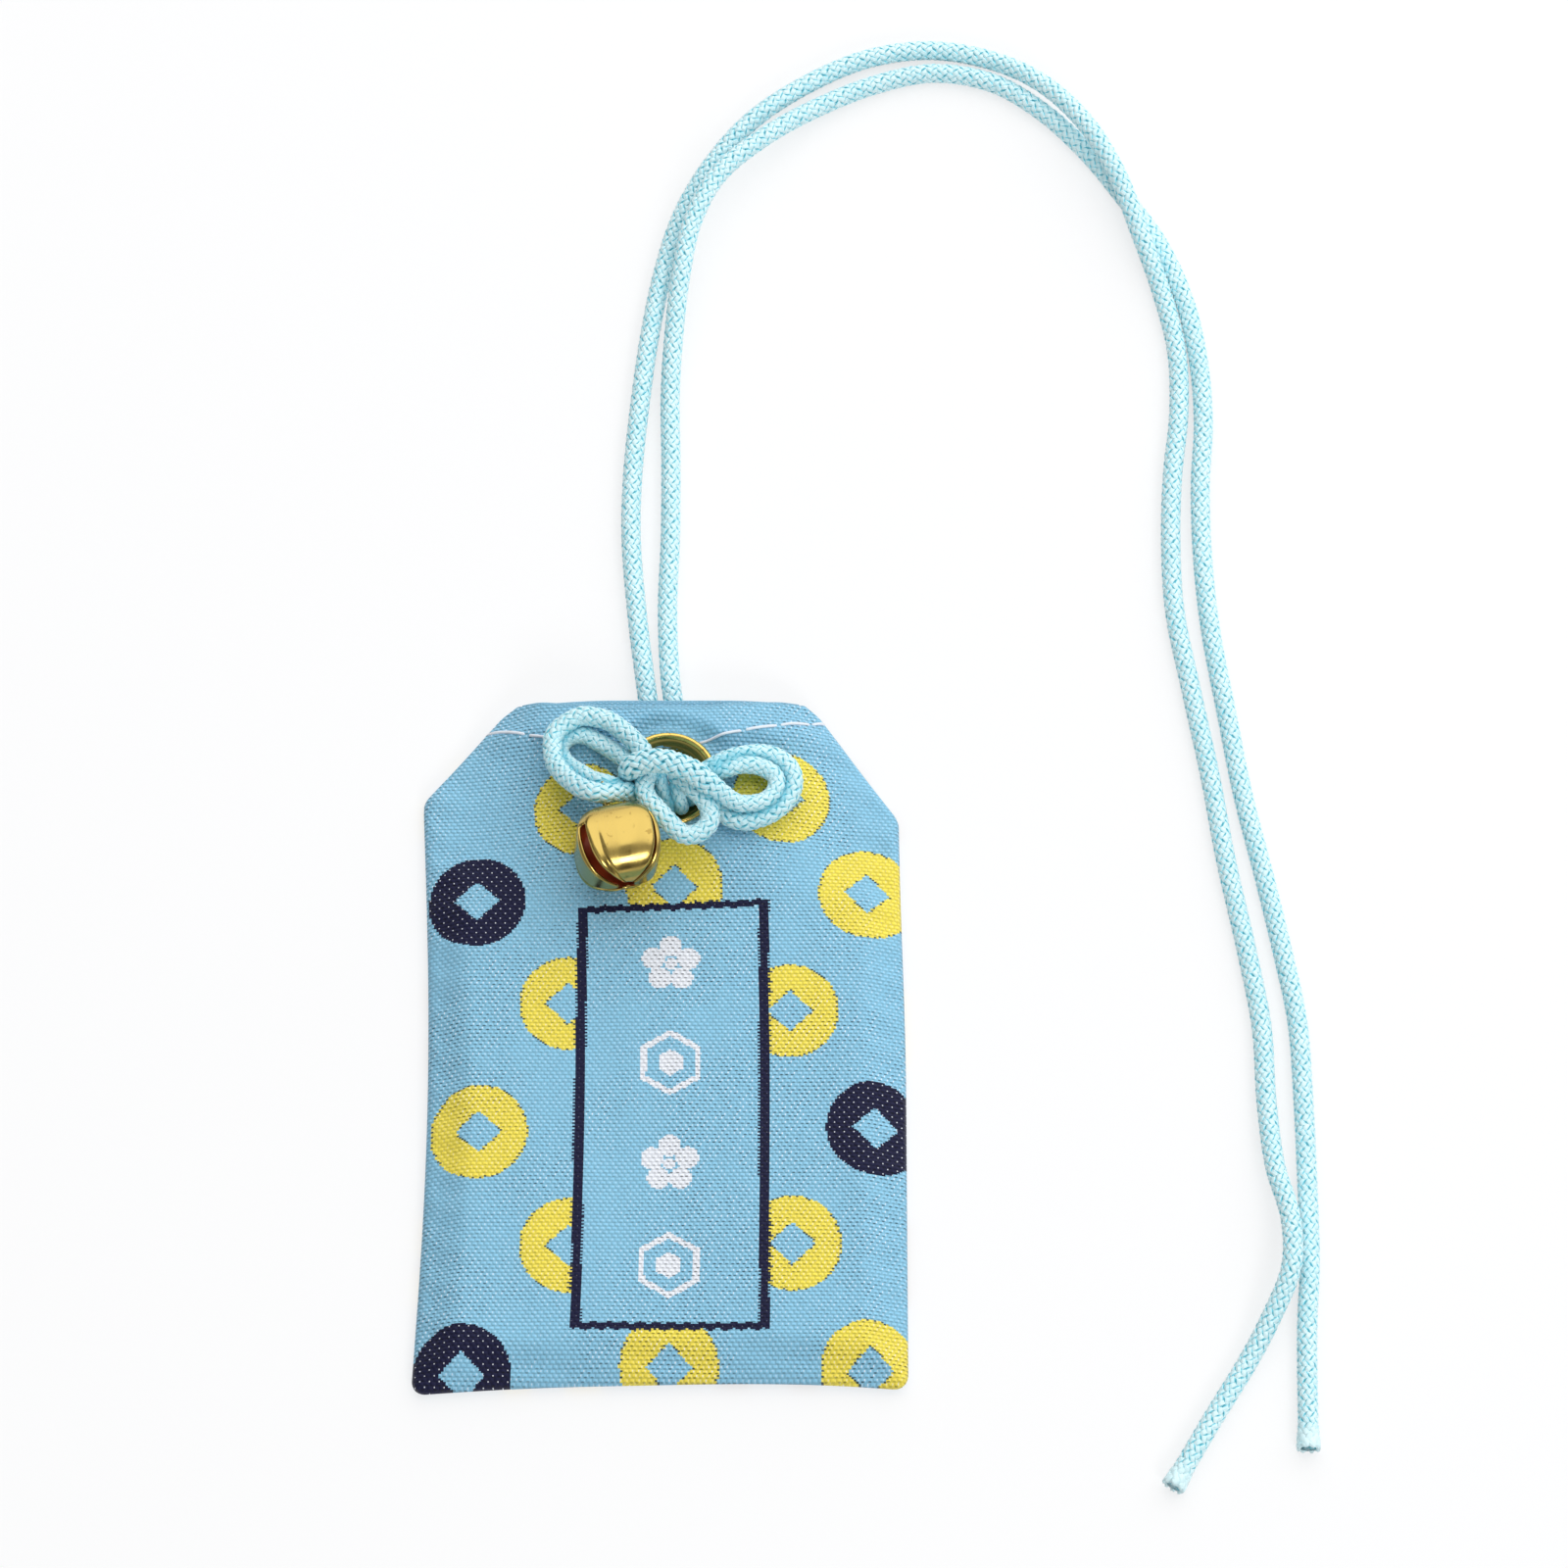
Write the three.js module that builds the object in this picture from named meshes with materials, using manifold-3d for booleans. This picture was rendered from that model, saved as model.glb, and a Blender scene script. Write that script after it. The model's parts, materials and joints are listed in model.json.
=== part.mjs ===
// A small cloth charm pouch, lying on its back: two cloth panels sewn into a pouch round a folded
// paper slip and a card, a brass eyelet through both cloths, a cord tied in a bow through the eyelet,
// and a brass jingle bell hung on the bow. Millimetres, +Z up, +Y towards the pouch's mouth.
// The origin is under the middle of the pouch, on the surface that it lies on.

import * as THREE from 'three';
import { mergeVertices } from 'three/addons/utils/BufferGeometryUtils.js';
import Module from 'manifold-3d';

const wasm = await Module();
wasm.setup();

// Pouch outline and cloth
const POUCH_WIDTH = 40;
const POUCH_HEIGHT = 60;
const CORNER_CUT_WIDTH = 7.2;
const CORNER_CUT_HEIGHT = 9;
const WAIST_PULL = 0.4;
const CLOTH_THICKNESS = 0.6;

// Spaces between the two cloths
const SEAM_GAP = 0.25;
const NECK_GAP = 0.45;
const MOUTH_GAP = 1.2;
const MOUTH_DEPTH = 5;
const MOUTH_RIM = 2;
const EDGE_SLOPE = 4;
const CLAMP_REACH = 1.6;

// What lies in the pouch
const FIT = 0.2;
const PAPER_THICKNESS = 0.2;
const CARD_THICKNESS = 0.6;
const CARD_FROM_SIDE = 6;
const CARD_FROM_BOTTOM = 4.5;
const CARD_FROM_TOP = 19.5;
const CARD_CORNER = 2;
const CARD_CORNER_STEPS = 4;
const SLIP_FROM_CARD_END = 1;
const LIFT_FROM_CARD = 1;

// Cord
const CORD_DIAMETER = 1.7;
const CORD_SIDES = 8;
const CORD_FLOOR_GAP = 0.05;
const CORD_END_GAP = 0.3;
const STRAND_GAP = 0.5;
const STRAND_STEPS = 40;
const KNOT_STEPS = 120;
const LEAST_KNOT_GAP = 0.4;
const TIGHT_TURN_DIAMETERS = 2.4;
const TAIL_DRIFT = -0.5;
const TAIL_BEND = 1.6;
const TAIL_Y = 0.5;
const TAIL_RISE = 0.2;

// Brass eyelet through both cloths
const EYELET_X = 0.4;
const EYELET_FROM_TOP = 7;
const EYELET_HOLE = 5;
const EYELET_WALL = 0.3;
const BARREL_CLEARANCE = 0.3;
const ROUND_SIDES = 28;
const FLANGE_WIDTH = 1.3;
const FLANGE_THICKNESS = 0.5;
const FLANGE_SEAT_GAP = 0.15;
const CURL_WIDTH = 0.7;
const CURL_THICKNESS = 0.4;
const LIFT_MARGIN = 0.6;
const LIFT_REACH = 14;

// Threads
const THREAD_DIAMETER = 0.25;
const THREAD_CLEARANCE = 0.1;
const THREAD_SIDES = 5;
const SEAM_INSET = 1.6;
const SEAM_CORNER = 3;
const SEAM_STEPS = 48;
const HEM_DEPTH = 2.6;
const HEM_STAGGER = 0.6;
const HEM_END_MARGIN = 1.5;
const STITCH_LENGTH = 4;
const STITCH_POINTS = 6;
const STITCH_FLATNESS = 1.5;

// Bell
const BELL_DIAMETER = 7.3;
const BELL_WALL = 0.3;
const BELL_SQUARENESS = 3.5;
const BELL_SLOT_WIDTH = 0.8;
const BELL_SLOT_TOP = 0.9;
const BELL_SEAT_GAP = 0.5;
const BELL_TURN = THREE.MathUtils.degToRad(13);
const PELLET_DIAMETER = 2.4;
const PELLET_SEAT_GAP = 0.5;
const LOOP_WIRE = 0.5;
const LOOP_SIDES = 6;
const LOOP_STEPS = 44;
const LOOP_CLEARANCE = 0.4;
const LOOP_STANDOFF = 0.8;
const LOOP_LEG_SPACING = 0.8;
const LOOP_HOLE_CLEARANCE = 0.2;
const LOOP_FOOT = 1.1;
const SHELL_SEGMENTS = 24;
const PELLET_SEGMENTS = 12;
const SEAT_PASSES = 12;

// Fineness of the cloth grid
const INNER_COLUMNS = 4;
const OUTER_COLUMNS = 4;
const ROWS_PER_STRETCH = 4;
const MERGE_DISTANCE = 1e-4;

// Edges of the pouch and the levels of the stack under and over the eyelet
const topEdge = POUCH_HEIGHT / 2;
const bottomEdge = -POUCH_HEIGHT / 2;
const shoulder = topEdge - CORNER_CUT_HEIGHT;
const eyeletY = topEdge - EYELET_FROM_TOP;
const cordRest = CORD_FLOOR_GAP + CORD_DIAMETER / 2;
const cordTop = CORD_FLOOR_GAP + CORD_DIAMETER;
const curlBottom = cordTop + FIT;
const curlTop = curlBottom + CURL_THICKNESS;
const eyeletLift = curlTop + FIT;
const mouthLift = cordTop + SEAM_GAP;
const pocketGap = 2 * PAPER_THICKNESS + CARD_THICKNESS + 4 * FIT;
const cardHalf = POUCH_WIDTH / 2 - CARD_FROM_SIDE;
const cardBottom = bottomEdge + CARD_FROM_BOTTOM;
const cardTop = topEdge - CARD_FROM_TOP;
const barrelRadius = EYELET_HOLE / 2 + EYELET_WALL;
const flangeRadius = barrelRadius + FLANGE_WIDTH;
const liftFlat = flangeRadius + LIFT_MARGIN;
const liftStart = cardTop + LIFT_FROM_CARD;
const liftFull = eyeletY - flangeRadius - FIT;
const fallStart = eyeletY + flangeRadius + FIT;

function smooth(value) {
  const t = THREE.MathUtils.clamp(value, 0, 1);
  return t * t * (3 - 2 * t);
}

// Half the pouch's width at a height: drawn in a little at the waist, cut off at the upper corners
function halfWidth(y) {
  const full = POUCH_WIDTH / 2;
  if (y > shoulder) return full - CORNER_CUT_WIDTH * (y - shoulder) / CORNER_CUT_HEIGHT;
  return full - WAIST_PULL * Math.sin(Math.PI * (y - bottomEdge) / (shoulder - bottomEdge));
}

// Underside of the back cloth: flat on the table, lifted near the mouth by the cord under it
function backUnderside(x, y) {
  const rise = smooth((y - liftStart) / (liftFull - liftStart));
  const fall = smooth((y - fallStart) / (topEdge - fallStart));
  const height = eyeletLift * rise + (mouthLift - eyeletLift) * fall;
  return height * (1 - smooth((Math.abs(x - EYELET_X) - liftFlat) / LIFT_REACH));
}

// Space between the cloths: closed at the seams, pinched at the eyelet, open at the pocket and mouth
function clothGap(x, y) {
  const neck = smooth((y - liftStart) / (liftFull - liftStart));
  const mouth = smooth((y - topEdge + MOUTH_DEPTH) / (MOUTH_DEPTH - MOUTH_RIM));
  const pocket = pocketGap + (NECK_GAP - pocketGap) * neck + (MOUTH_GAP - NECK_GAP) * mouth;
  const fromEyelet = Math.hypot(x - EYELET_X, y - eyeletY);
  const freed = smooth((fromEyelet - liftFlat) / CLAMP_REACH);
  const fromEdge = Math.min(halfWidth(y) - Math.abs(x), y - bottomEdge);
  return SEAM_GAP + (pocket - SEAM_GAP) * freed * smooth(fromEdge / EDGE_SLOPE);
}

function frontUnderside(x, y) {
  return backUnderside(x, y) + CLOTH_THICKNESS + clothGap(x, y);
}

function frontTop(x, y) {
  return frontUnderside(x, y) + CLOTH_THICKNESS;
}

const eyeletFace = frontTop(EYELET_X, eyeletY);

// Conversion between geometries and solids that can be cut
function toSolid(geometry) {
  const bare = new THREE.BufferGeometry();
  bare.setAttribute('position', geometry.getAttribute('position'));
  bare.setIndex(geometry.getIndex());
  const merged = mergeVertices(bare, MERGE_DISTANCE);
  return new wasm.Manifold(new wasm.Mesh({
    numProp: 3,
    vertProperties: new Float32Array(merged.getAttribute('position').array),
    triVerts: new Uint32Array(merged.getIndex().array),
  }));
}

function toGeometry(solid) {
  const mesh = solid.getMesh();
  const geometry = new THREE.BufferGeometry();
  geometry.setAttribute('position', new THREE.BufferAttribute(new Float32Array(mesh.vertProperties), 3));
  geometry.setIndex(new THREE.BufferAttribute(new Uint32Array(mesh.triVerts), 1));
  geometry.computeVertexNormals();
  return geometry;
}

function vectors(points) {
  return points.map(([x, y, z]) => new THREE.Vector3(x, y, z));
}

// A round tube along a smooth curve through the points
function tube(points, diameter, sides, steps) {
  const ring = [];
  for (let i = 0; i < sides; i += 1) {
    const angle = 2 * Math.PI * (i + 0.5) / sides;
    ring.push(new THREE.Vector2(Math.cos(angle), Math.sin(angle)).multiplyScalar(diameter / 2));
  }
  const extrudePath = new THREE.CatmullRomCurve3(vectors(points), false, 'centripetal');
  return new THREE.ExtrudeGeometry(new THREE.Shape(ring), { steps, extrudePath });
}

// Stations of the cloth grid: even columns about the eyelet, then columns that follow the outline
function columns(y) {
  const xs = [];
  for (let i = -INNER_COLUMNS; i <= INNER_COLUMNS; i += 1) xs.push(EYELET_X + i * liftFlat / 2);
  const left = xs[0];
  const right = xs[xs.length - 1];
  for (let i = 1; i <= OUTER_COLUMNS; i += 1) {
    const share = i / OUTER_COLUMNS;
    xs.unshift(left + share * (-halfWidth(y) - left));
    xs.push(right + share * (halfWidth(y) - right));
  }
  return xs;
}

function rows() {
  const ends = [bottomEdge, bottomEdge + EDGE_SLOPE, liftStart, liftFull];
  const ys = [bottomEdge, shoulder, eyeletY, (eyeletY + fallStart) / 2, fallStart];
  for (let stretch = 1; stretch < ends.length; stretch += 1) {
    for (let i = 1; i <= ROWS_PER_STRETCH; i += 1) {
      ys.push(THREE.MathUtils.lerp(ends[stretch - 1], ends[stretch], i / ROWS_PER_STRETCH));
    }
  }
  ys.push((fallStart + topEdge) / 2, topEdge);
  return ys.sort((a, b) => a - b);
}

// One cloth as a closed shell over the grid, from its underside
function clothShell(underside) {
  const ys = rows();
  const across = columns(0).length;
  const positions = [];
  for (const thickness of [0, CLOTH_THICKNESS]) {
    for (const y of ys) {
      for (const x of columns(y)) positions.push(x, y, underside(x, y) + thickness);
    }
  }
  const layer = ys.length * across;
  const faces = [];
  const quad = (a, b, c, d) => faces.push(a, b, c, a, c, d);
  for (let j = 0; j < ys.length - 1; j += 1) {
    for (let i = 0; i < across - 1; i += 1) {
      const a = j * across + i;
      quad(a, a + across, a + across + 1, a + 1);
      quad(layer + a, layer + a + 1, layer + a + across + 1, layer + a + across);
    }
    const left = j * across;
    const right = left + across - 1;
    quad(left, layer + left, layer + left + across, left + across);
    quad(right, right + across, layer + right + across, layer + right);
  }
  for (let i = 0; i < across - 1; i += 1) {
    const top = (ys.length - 1) * across + i;
    quad(i, i + 1, layer + i + 1, layer + i);
    quad(top, layer + top, layer + top + 1, top + 1);
  }
  const geometry = new THREE.BufferGeometry();
  geometry.setAttribute('position', new THREE.BufferAttribute(new Float32Array(positions), 3));
  geometry.setIndex(faces);
  return geometry;
}

// A running stitch through one cloth along its hem, as many stitches as the hem has room for.
// Over is 1 where the middle stitch lies on top. The two hems' stitches lie at staggered heights.
const frontHem = topEdge - HEM_DEPTH;
const backHem = frontHem + HEM_STAGGER;
const hemRoom = halfWidth(backHem) - Math.abs(EYELET_X) - HEM_END_MARGIN;
const stitchesEachSide = Math.floor(hemRoom / STITCH_LENGTH);
const stitchSteps = 2 * stitchesEachSide * STITCH_POINTS;

function hemStitchPoints(underside, y, over) {
  const swing = CLOTH_THICKNESS / 2 + THREAD_CLEARANCE + THREAD_DIAMETER / 2;
  const points = [];
  for (let i = -stitchSteps / 2; i <= stitchSteps / 2; i += 1) {
    const along = i * STITCH_LENGTH / STITCH_POINTS;
    const x = EYELET_X + along;
    const wave = THREE.MathUtils.clamp(STITCH_FLATNESS * Math.cos(Math.PI * along / STITCH_LENGTH), -1, 1);
    points.push([x, y, underside(x, y) + CLOTH_THICKNESS / 2 + over * swing * wave]);
  }
  return points;
}

const frontStitchPoints = hemStitchPoints(frontUnderside, frontHem, 1);
const backStitchPoints = hemStitchPoints(backUnderside, backHem, -1);

function stitchTube(points, diameter) {
  return tube(points, diameter, THREAD_SIDES, stitchSteps);
}

// A cloth with its eyelet hole and the needle holes of its hem
function clothPanel(underside, stitchPoints) {
  const holeRadius = barrelRadius + BARREL_CLEARANCE;
  const hole = new THREE.CylinderGeometry(holeRadius, holeRadius, 4 * eyeletFace, ROUND_SIDES);
  hole.rotateX(Math.PI / 2);
  hole.translate(EYELET_X, eyeletY, 0);
  const needleHoles = stitchTube(stitchPoints, THREAD_DIAMETER + 2 * THREAD_CLEARANCE);
  return toGeometry(toSolid(clothShell(underside)).subtract(toSolid(hole)).subtract(toSolid(needleHoles)));
}

// The side and bottom seam's thread, in the space between the cloths
function seamThread() {
  const between = (x, y) => [x, y, backUnderside(x, y) + CLOTH_THICKNESS + clothGap(x, y) / 2];
  const top = shoulder - SEAM_CORNER;
  const low = bottomEdge + SEAM_INSET;
  const side = (y) => halfWidth(y) - SEAM_INSET;
  const turn = low + SEAM_CORNER;
  const corner = side(turn) - SEAM_CORNER;
  const half = [];
  for (const share of [1, 0.8, 0.6, 0.4, 0.2, 0]) {
    const y = turn + share * (top - turn);
    half.push([side(y), y]);
  }
  for (const angle of [-30, -60, -90]) {
    const a = THREE.MathUtils.degToRad(angle);
    half.push([corner + SEAM_CORNER * Math.cos(a), turn + SEAM_CORNER * Math.sin(a)]);
  }
  half.push([corner / 2, low]);
  const left = half.map(([x, y]) => between(-x, y));
  const right = half.map(([x, y]) => between(x, y)).reverse();
  return tube([...left, between(0, low), ...right], THREAD_DIAMETER, THREAD_SIDES, SEAM_STEPS);
}

// The eyelet: a flange with a rounded rim in front, a barrel, and a curl behind
function eyelet() {
  const bore = EYELET_HOLE / 2;
  const curl = barrelRadius + CURL_WIDTH;
  const under = eyeletFace + FLANGE_SEAT_GAP;
  const over = under + FLANGE_THICKNESS;
  const round = FLANGE_THICKNESS / 2;
  const profile = [
    [bore, curlBottom], [curl, curlBottom], [curl, curlTop], [barrelRadius, curlTop],
    [barrelRadius, under], [flangeRadius, under], [flangeRadius, over - round],
    [flangeRadius - round, over], [barrelRadius + round, over], [bore, over - round], [bore, curlBottom],
  ];
  const geometry = new THREE.LatheGeometry(profile.map(([r, z]) => new THREE.Vector2(r, z)), ROUND_SIDES);
  geometry.rotateX(Math.PI / 2);
  geometry.translate(EYELET_X, eyeletY, 0);
  return geometry;
}

// The card, and the paper slip folded round it
const slipBottom = CLOTH_THICKNESS + FIT;
const cardLow = slipBottom + PAPER_THICKNESS + FIT;
const cardHigh = cardLow + CARD_THICKNESS;
const slipTop = cardHigh + FIT + PAPER_THICKNESS;

function innerCard() {
  const turn = cardHalf - CARD_CORNER;
  const low = cardBottom + CARD_CORNER;
  const high = cardTop - CARD_CORNER;
  const shape = new THREE.Shape();
  shape.absarc(turn, low, CARD_CORNER, -Math.PI / 2, 0);
  shape.absarc(turn, high, CARD_CORNER, 0, Math.PI / 2);
  shape.absarc(-turn, high, CARD_CORNER, Math.PI / 2, Math.PI);
  shape.absarc(-turn, low, CARD_CORNER, Math.PI, 1.5 * Math.PI);
  const geometry = new THREE.ExtrudeGeometry(shape, {
    depth: CARD_THICKNESS, bevelEnabled: false, curveSegments: CARD_CORNER_STEPS,
  });
  geometry.translate(0, 0, cardLow);
  return geometry;
}

function prayerSlip() {
  const open = -cardHalf;
  const inside = cardHalf + FIT;
  const outside = inside + PAPER_THICKNESS;
  const outline = [
    [open, slipBottom], [outside, slipBottom], [outside, slipTop], [open, slipTop],
    [open, slipTop - PAPER_THICKNESS], [inside, slipTop - PAPER_THICKNESS],
    [inside, slipBottom + PAPER_THICKNESS], [open, slipBottom + PAPER_THICKNESS],
  ];
  const shape = new THREE.Shape(outline.map(([x, z]) => new THREE.Vector2(x, z)));
  const depth = cardTop - cardBottom - 2 * SLIP_FROM_CARD_END;
  const geometry = new THREE.ExtrudeGeometry(shape, { depth, bevelEnabled: false });
  geometry.rotateX(Math.PI / 2);
  geometry.translate(0, cardTop - SLIP_FROM_CARD_END, 0);
  return geometry;
}

// The bow, from one tail under the pouch, up through the eyelet, round its loops and down again.
// Its points are measured from the middle of the eyelet, on the face of the front cloth.
const tailZ = cordRest - eyeletFace;
const tailEnd = EYELET_FROM_TOP - CORD_END_GAP / 2;
const strandX = (CORD_DIAMETER + STRAND_GAP) / 2;

function tailPoints(x) {
  const half = TAIL_BEND * (1 - Math.SQRT1_2);
  return [
    [x + TAIL_DRIFT, tailEnd, tailZ],
    [x + TAIL_DRIFT / 2, (tailEnd + TAIL_Y + TAIL_BEND) / 2, tailZ],
    [x, TAIL_Y + TAIL_BEND, tailZ],
    [x, TAIL_Y + half, tailZ + half],
    [x, TAIL_Y, tailZ + TAIL_BEND],
    [x, TAIL_Y, TAIL_RISE],
  ];
}

const hangPoint = [-5.5, -1.5, 4.1];

const bowPoints = [
  [-1.2, 0.65, 1.1], [-2, 1.5, 1.85], [-3.6, 3.3, 1.85], [-5.6, 4.8, 1.95], [-7.8, 4.9, 1.9],
  [-9.5, 3.5, 1.4], [-9.7, 1.4, 1.1], [-8.8, -0.2, 2], [-7.3, -1.1, 3.4], hangPoint,
  [-4.2, -1.75, 3.3], [-3.4, -1.8, 2.2], [-2.2, -1.75, 1.7], [-0.6, -1.95, 1.7], [1.4, -2.7, 1.7],
  [3.2, -3.8, 1.6], [5.6, -4.4, 1.2], [8.2, -3.9, 0.9], [10.2, -2.1, 0.6], [10.4, 0, 0.6],
  [8.8, 1.5, 0.9], [6.6, 1.6, 1.3], [4.2, 1.9, 1.7], [2.1, 2.5, 1.85], [0.5, 2.2, 2.5],
  [0.05, 0.95, 3.4], [0.9, -0.4, 3.8], [2.4, -1.7, 3.8], [3.4, -3.4, 3.9], [3.1, -5.1, 3.5],
  [1.8, -6.2, 2.2], [0.5, -5.6, 1.6], [-0.45, -4.5, 2], [-1.4, -3.1, 3.6], [-2.1, -1.5, 4.1],
  [-2.4, 0.2, 4.2], [-1.6, 1.6, 4.8], [0.1, 2.1, 5.3], [2, 1.6, 5.1], [3.7, 0.5, 4.3],
  [4.7, -0.2, 3.2], [4.2, -0.4, 2.2], [2.7, -0.2, 1.85], [1.6, 0.3, 1.4],
];

const knotPoints = [...tailPoints(-strandX), ...bowPoints, ...tailPoints(strandX).reverse()];

// Least clear space between stretches of the knot that lie further apart along it than a tight turn
function leastKnotGap() {
  const curve = new THREE.CatmullRomCurve3(vectors(knotPoints), false, 'centripetal');
  const samples = 4 * KNOT_STEPS;
  const points = curve.getSpacedPoints(samples);
  const apart = Math.ceil(TIGHT_TURN_DIAMETERS * CORD_DIAMETER * samples / curve.getLength());
  let least = Infinity;
  for (let i = 0; i < points.length; i += 1) {
    for (let j = i + apart; j < points.length; j += 1) {
      least = Math.min(least, points[i].distanceTo(points[j]));
    }
  }
  return { gap: least - CORD_DIAMETER, length: curve.getLength() };
}

const knotMeasure = leastKnotGap();
console.log(`knot length ${knotMeasure.length.toFixed(1)} mm`);
console.log(`least gap of the knot to itself ${knotMeasure.gap.toFixed(2)} mm`);
if (knotMeasure.gap < LEAST_KNOT_GAP) console.log('the knot comes too close to itself');

// The two free strands, from the mouth of the pouch to their cut ends, lying on the table.
// Their points are measured from the middle of the mouth, at the table.
const strandStart = CORD_END_GAP / 2;
const leftStart = EYELET_X - strandX + TAIL_DRIFT;
const rightStart = EYELET_X + strandX + TAIL_DRIFT;

const leftStrandPoints = [
  [leftStart, strandStart, cordRest], [-1.6, 3, cordRest], [-2.4, 9.5, cordRest], [-3, 17, cordRest],
  [-2.9, 23, cordRest], [-2.3, 30, cordRest], [-1.5, 36.5, cordRest], [-0.4, 42.5, cordRest],
  [1.2, 48, cordRest], [3.8, 53, cordRest], [7.5, 57.6, cordRest], [12.6, 61.3, cordRest],
  [17.8, 63.7, cordRest], [23.2, 64.5, cordRest], [28.5, 63.4, 1.2], [33, 60.6, 2.2],
  [36.8, 56.2, 3], [39.5, 51.2, 3], [41.4, 46, 2.2], [43.2, 40.8, 1.2],
  [44.5, 35, cordRest], [44.6, 29, cordRest], [43.9, 22.8, cordRest], [43.6, 16.5, cordRest],
  [43.8, 10, cordRest], [45, 2.8, cordRest], [46.4, -5, cordRest], [47.6, -13, cordRest],
  [49.1, -21, cordRest], [50.2, -28, cordRest], [50.4, -34.5, 1.1], [50.9, -40.5, 1.8],
  [52, -45.4, 2.6], [52.1, -49.6, 2.6], [50.2, -53.8, 1.6], [47.4, -57.7, cordRest],
  [44.6, -61.8, cordRest], [41.9, -67.8, cordRest],
];

const rightStrandPoints = [
  [rightStart, strandStart, cordRest], [0.5, 3.5, cordRest], [0.2, 10, cordRest], [0.4, 17, cordRest],
  [0.4, 24, cordRest], [0.3, 30.5, 1.1], [0.6, 36, 1.8], [1.2, 41.5, 2.6],
  [2.2, 46.5, 2.9], [4.3, 50.9, 2.9], [8, 54.7, 2.4], [12.8, 58.3, 1.4],
  [18.5, 61.1, cordRest], [23.6, 62.2, cordRest], [28.8, 61.2, cordRest], [33.2, 58.3, cordRest],
  [37.2, 54.1, cordRest], [40.4, 49.6, cordRest], [43.2, 45.2, cordRest], [45.3, 39.8, cordRest],
  [46.4, 34, cordRest], [46.7, 28, cordRest], [46.3, 22, cordRest], [46.3, 15.5, cordRest],
  [46.8, 8.5, cordRest], [48, 0.5, cordRest], [49.2, -7, cordRest], [50.8, -14.5, cordRest],
  [52.1, -21, cordRest], [53.2, -27.5, cordRest], [53.5, -34.5, cordRest], [53.6, -41.5, cordRest],
  [53.6, -48.5, cordRest], [53.2, -54.5, cordRest], [53, -64.5, cordRest],
];

// The bell's own frame: +Z to its crown, +X up when it lies on the cloth. It hangs by its loop.
const bellRadius = BELL_DIAMETER / 2;
const loopRadius = CORD_DIAMETER / 2 + LOOP_CLEARANCE + LOOP_WIRE / 2;
const bellReach = bellRadius + LOOP_STANDOFF + LOOP_WIRE / 2 + loopRadius;
const hang = new THREE.Vector3(EYELET_X + hangPoint[0], eyeletY + hangPoint[1], eyeletFace + hangPoint[2]);

// The way from the hang point to the bell's middle, tipped so that the bell lies on the cloth
function bellDirection() {
  let tip = 0;
  for (let pass = 0; pass < SEAT_PASSES; pass += 1) {
    const flat = bellReach * Math.cos(tip);
    const x = hang.x + flat * Math.sin(BELL_TURN);
    const y = hang.y - flat * Math.cos(BELL_TURN);
    tip = Math.asin((frontTop(x, y) + BELL_SEAT_GAP + bellRadius - hang.z) / bellReach);
  }
  const flat = Math.cos(tip);
  return new THREE.Vector3(flat * Math.sin(BELL_TURN), -flat * Math.cos(BELL_TURN), Math.sin(tip));
}

const bellWay = bellDirection();

function bellGroup() {
  const toCrown = bellWay.clone().negate();
  const up = new THREE.Vector3(0, 0, 1);
  up.addScaledVector(toCrown, -up.dot(toCrown)).normalize();
  const side = toCrown.clone().cross(up);
  const group = new THREE.Group();
  group.setRotationFromMatrix(new THREE.Matrix4().makeBasis(up, side, toCrown));
  group.position.copy(hang).addScaledVector(bellWay, bellReach);
  return group;
}

// A ball drawn out to a rounded square across its axis
function squareBall(radius) {
  const geometry = new THREE.SphereGeometry(radius, SHELL_SEGMENTS, SHELL_SEGMENTS / 2);
  geometry.rotateX(Math.PI / 2);
  const place = geometry.getAttribute('position');
  const v = new THREE.Vector3();
  for (let i = 0; i < place.count; i += 1) {
    v.fromBufferAttribute(place, i).divideScalar(radius);
    const power = Math.abs(v.x) ** BELL_SQUARENESS + Math.abs(v.y) ** BELL_SQUARENESS;
    const size = Math.hypot(power ** (1 / BELL_SQUARENESS), v.z);
    v.multiplyScalar(radius / size);
    place.setXYZ(i, v.x, v.y, v.z);
  }
  return geometry;
}

function bellShell() {
  let shell = toSolid(squareBall(bellRadius)).subtract(toSolid(squareBall(bellRadius - BELL_WALL)));
  for (const angle of [45, 135]) {
    const slot = new THREE.BoxGeometry(2 * BELL_DIAMETER, BELL_SLOT_WIDTH, BELL_DIAMETER);
    slot.translate(0, 0, BELL_SLOT_TOP - BELL_DIAMETER / 2);
    slot.rotateZ(THREE.MathUtils.degToRad(angle));
    shell = shell.subtract(toSolid(slot));
  }
  const holeAcross = LOOP_WIRE + 2 * LOOP_HOLE_CLEARANCE;
  const hole = new THREE.BoxGeometry(holeAcross + LOOP_LEG_SPACING, holeAcross, bellRadius);
  hole.translate(0, 0, bellRadius);
  return toGeometry(shell.subtract(toSolid(hole)));
}

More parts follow.
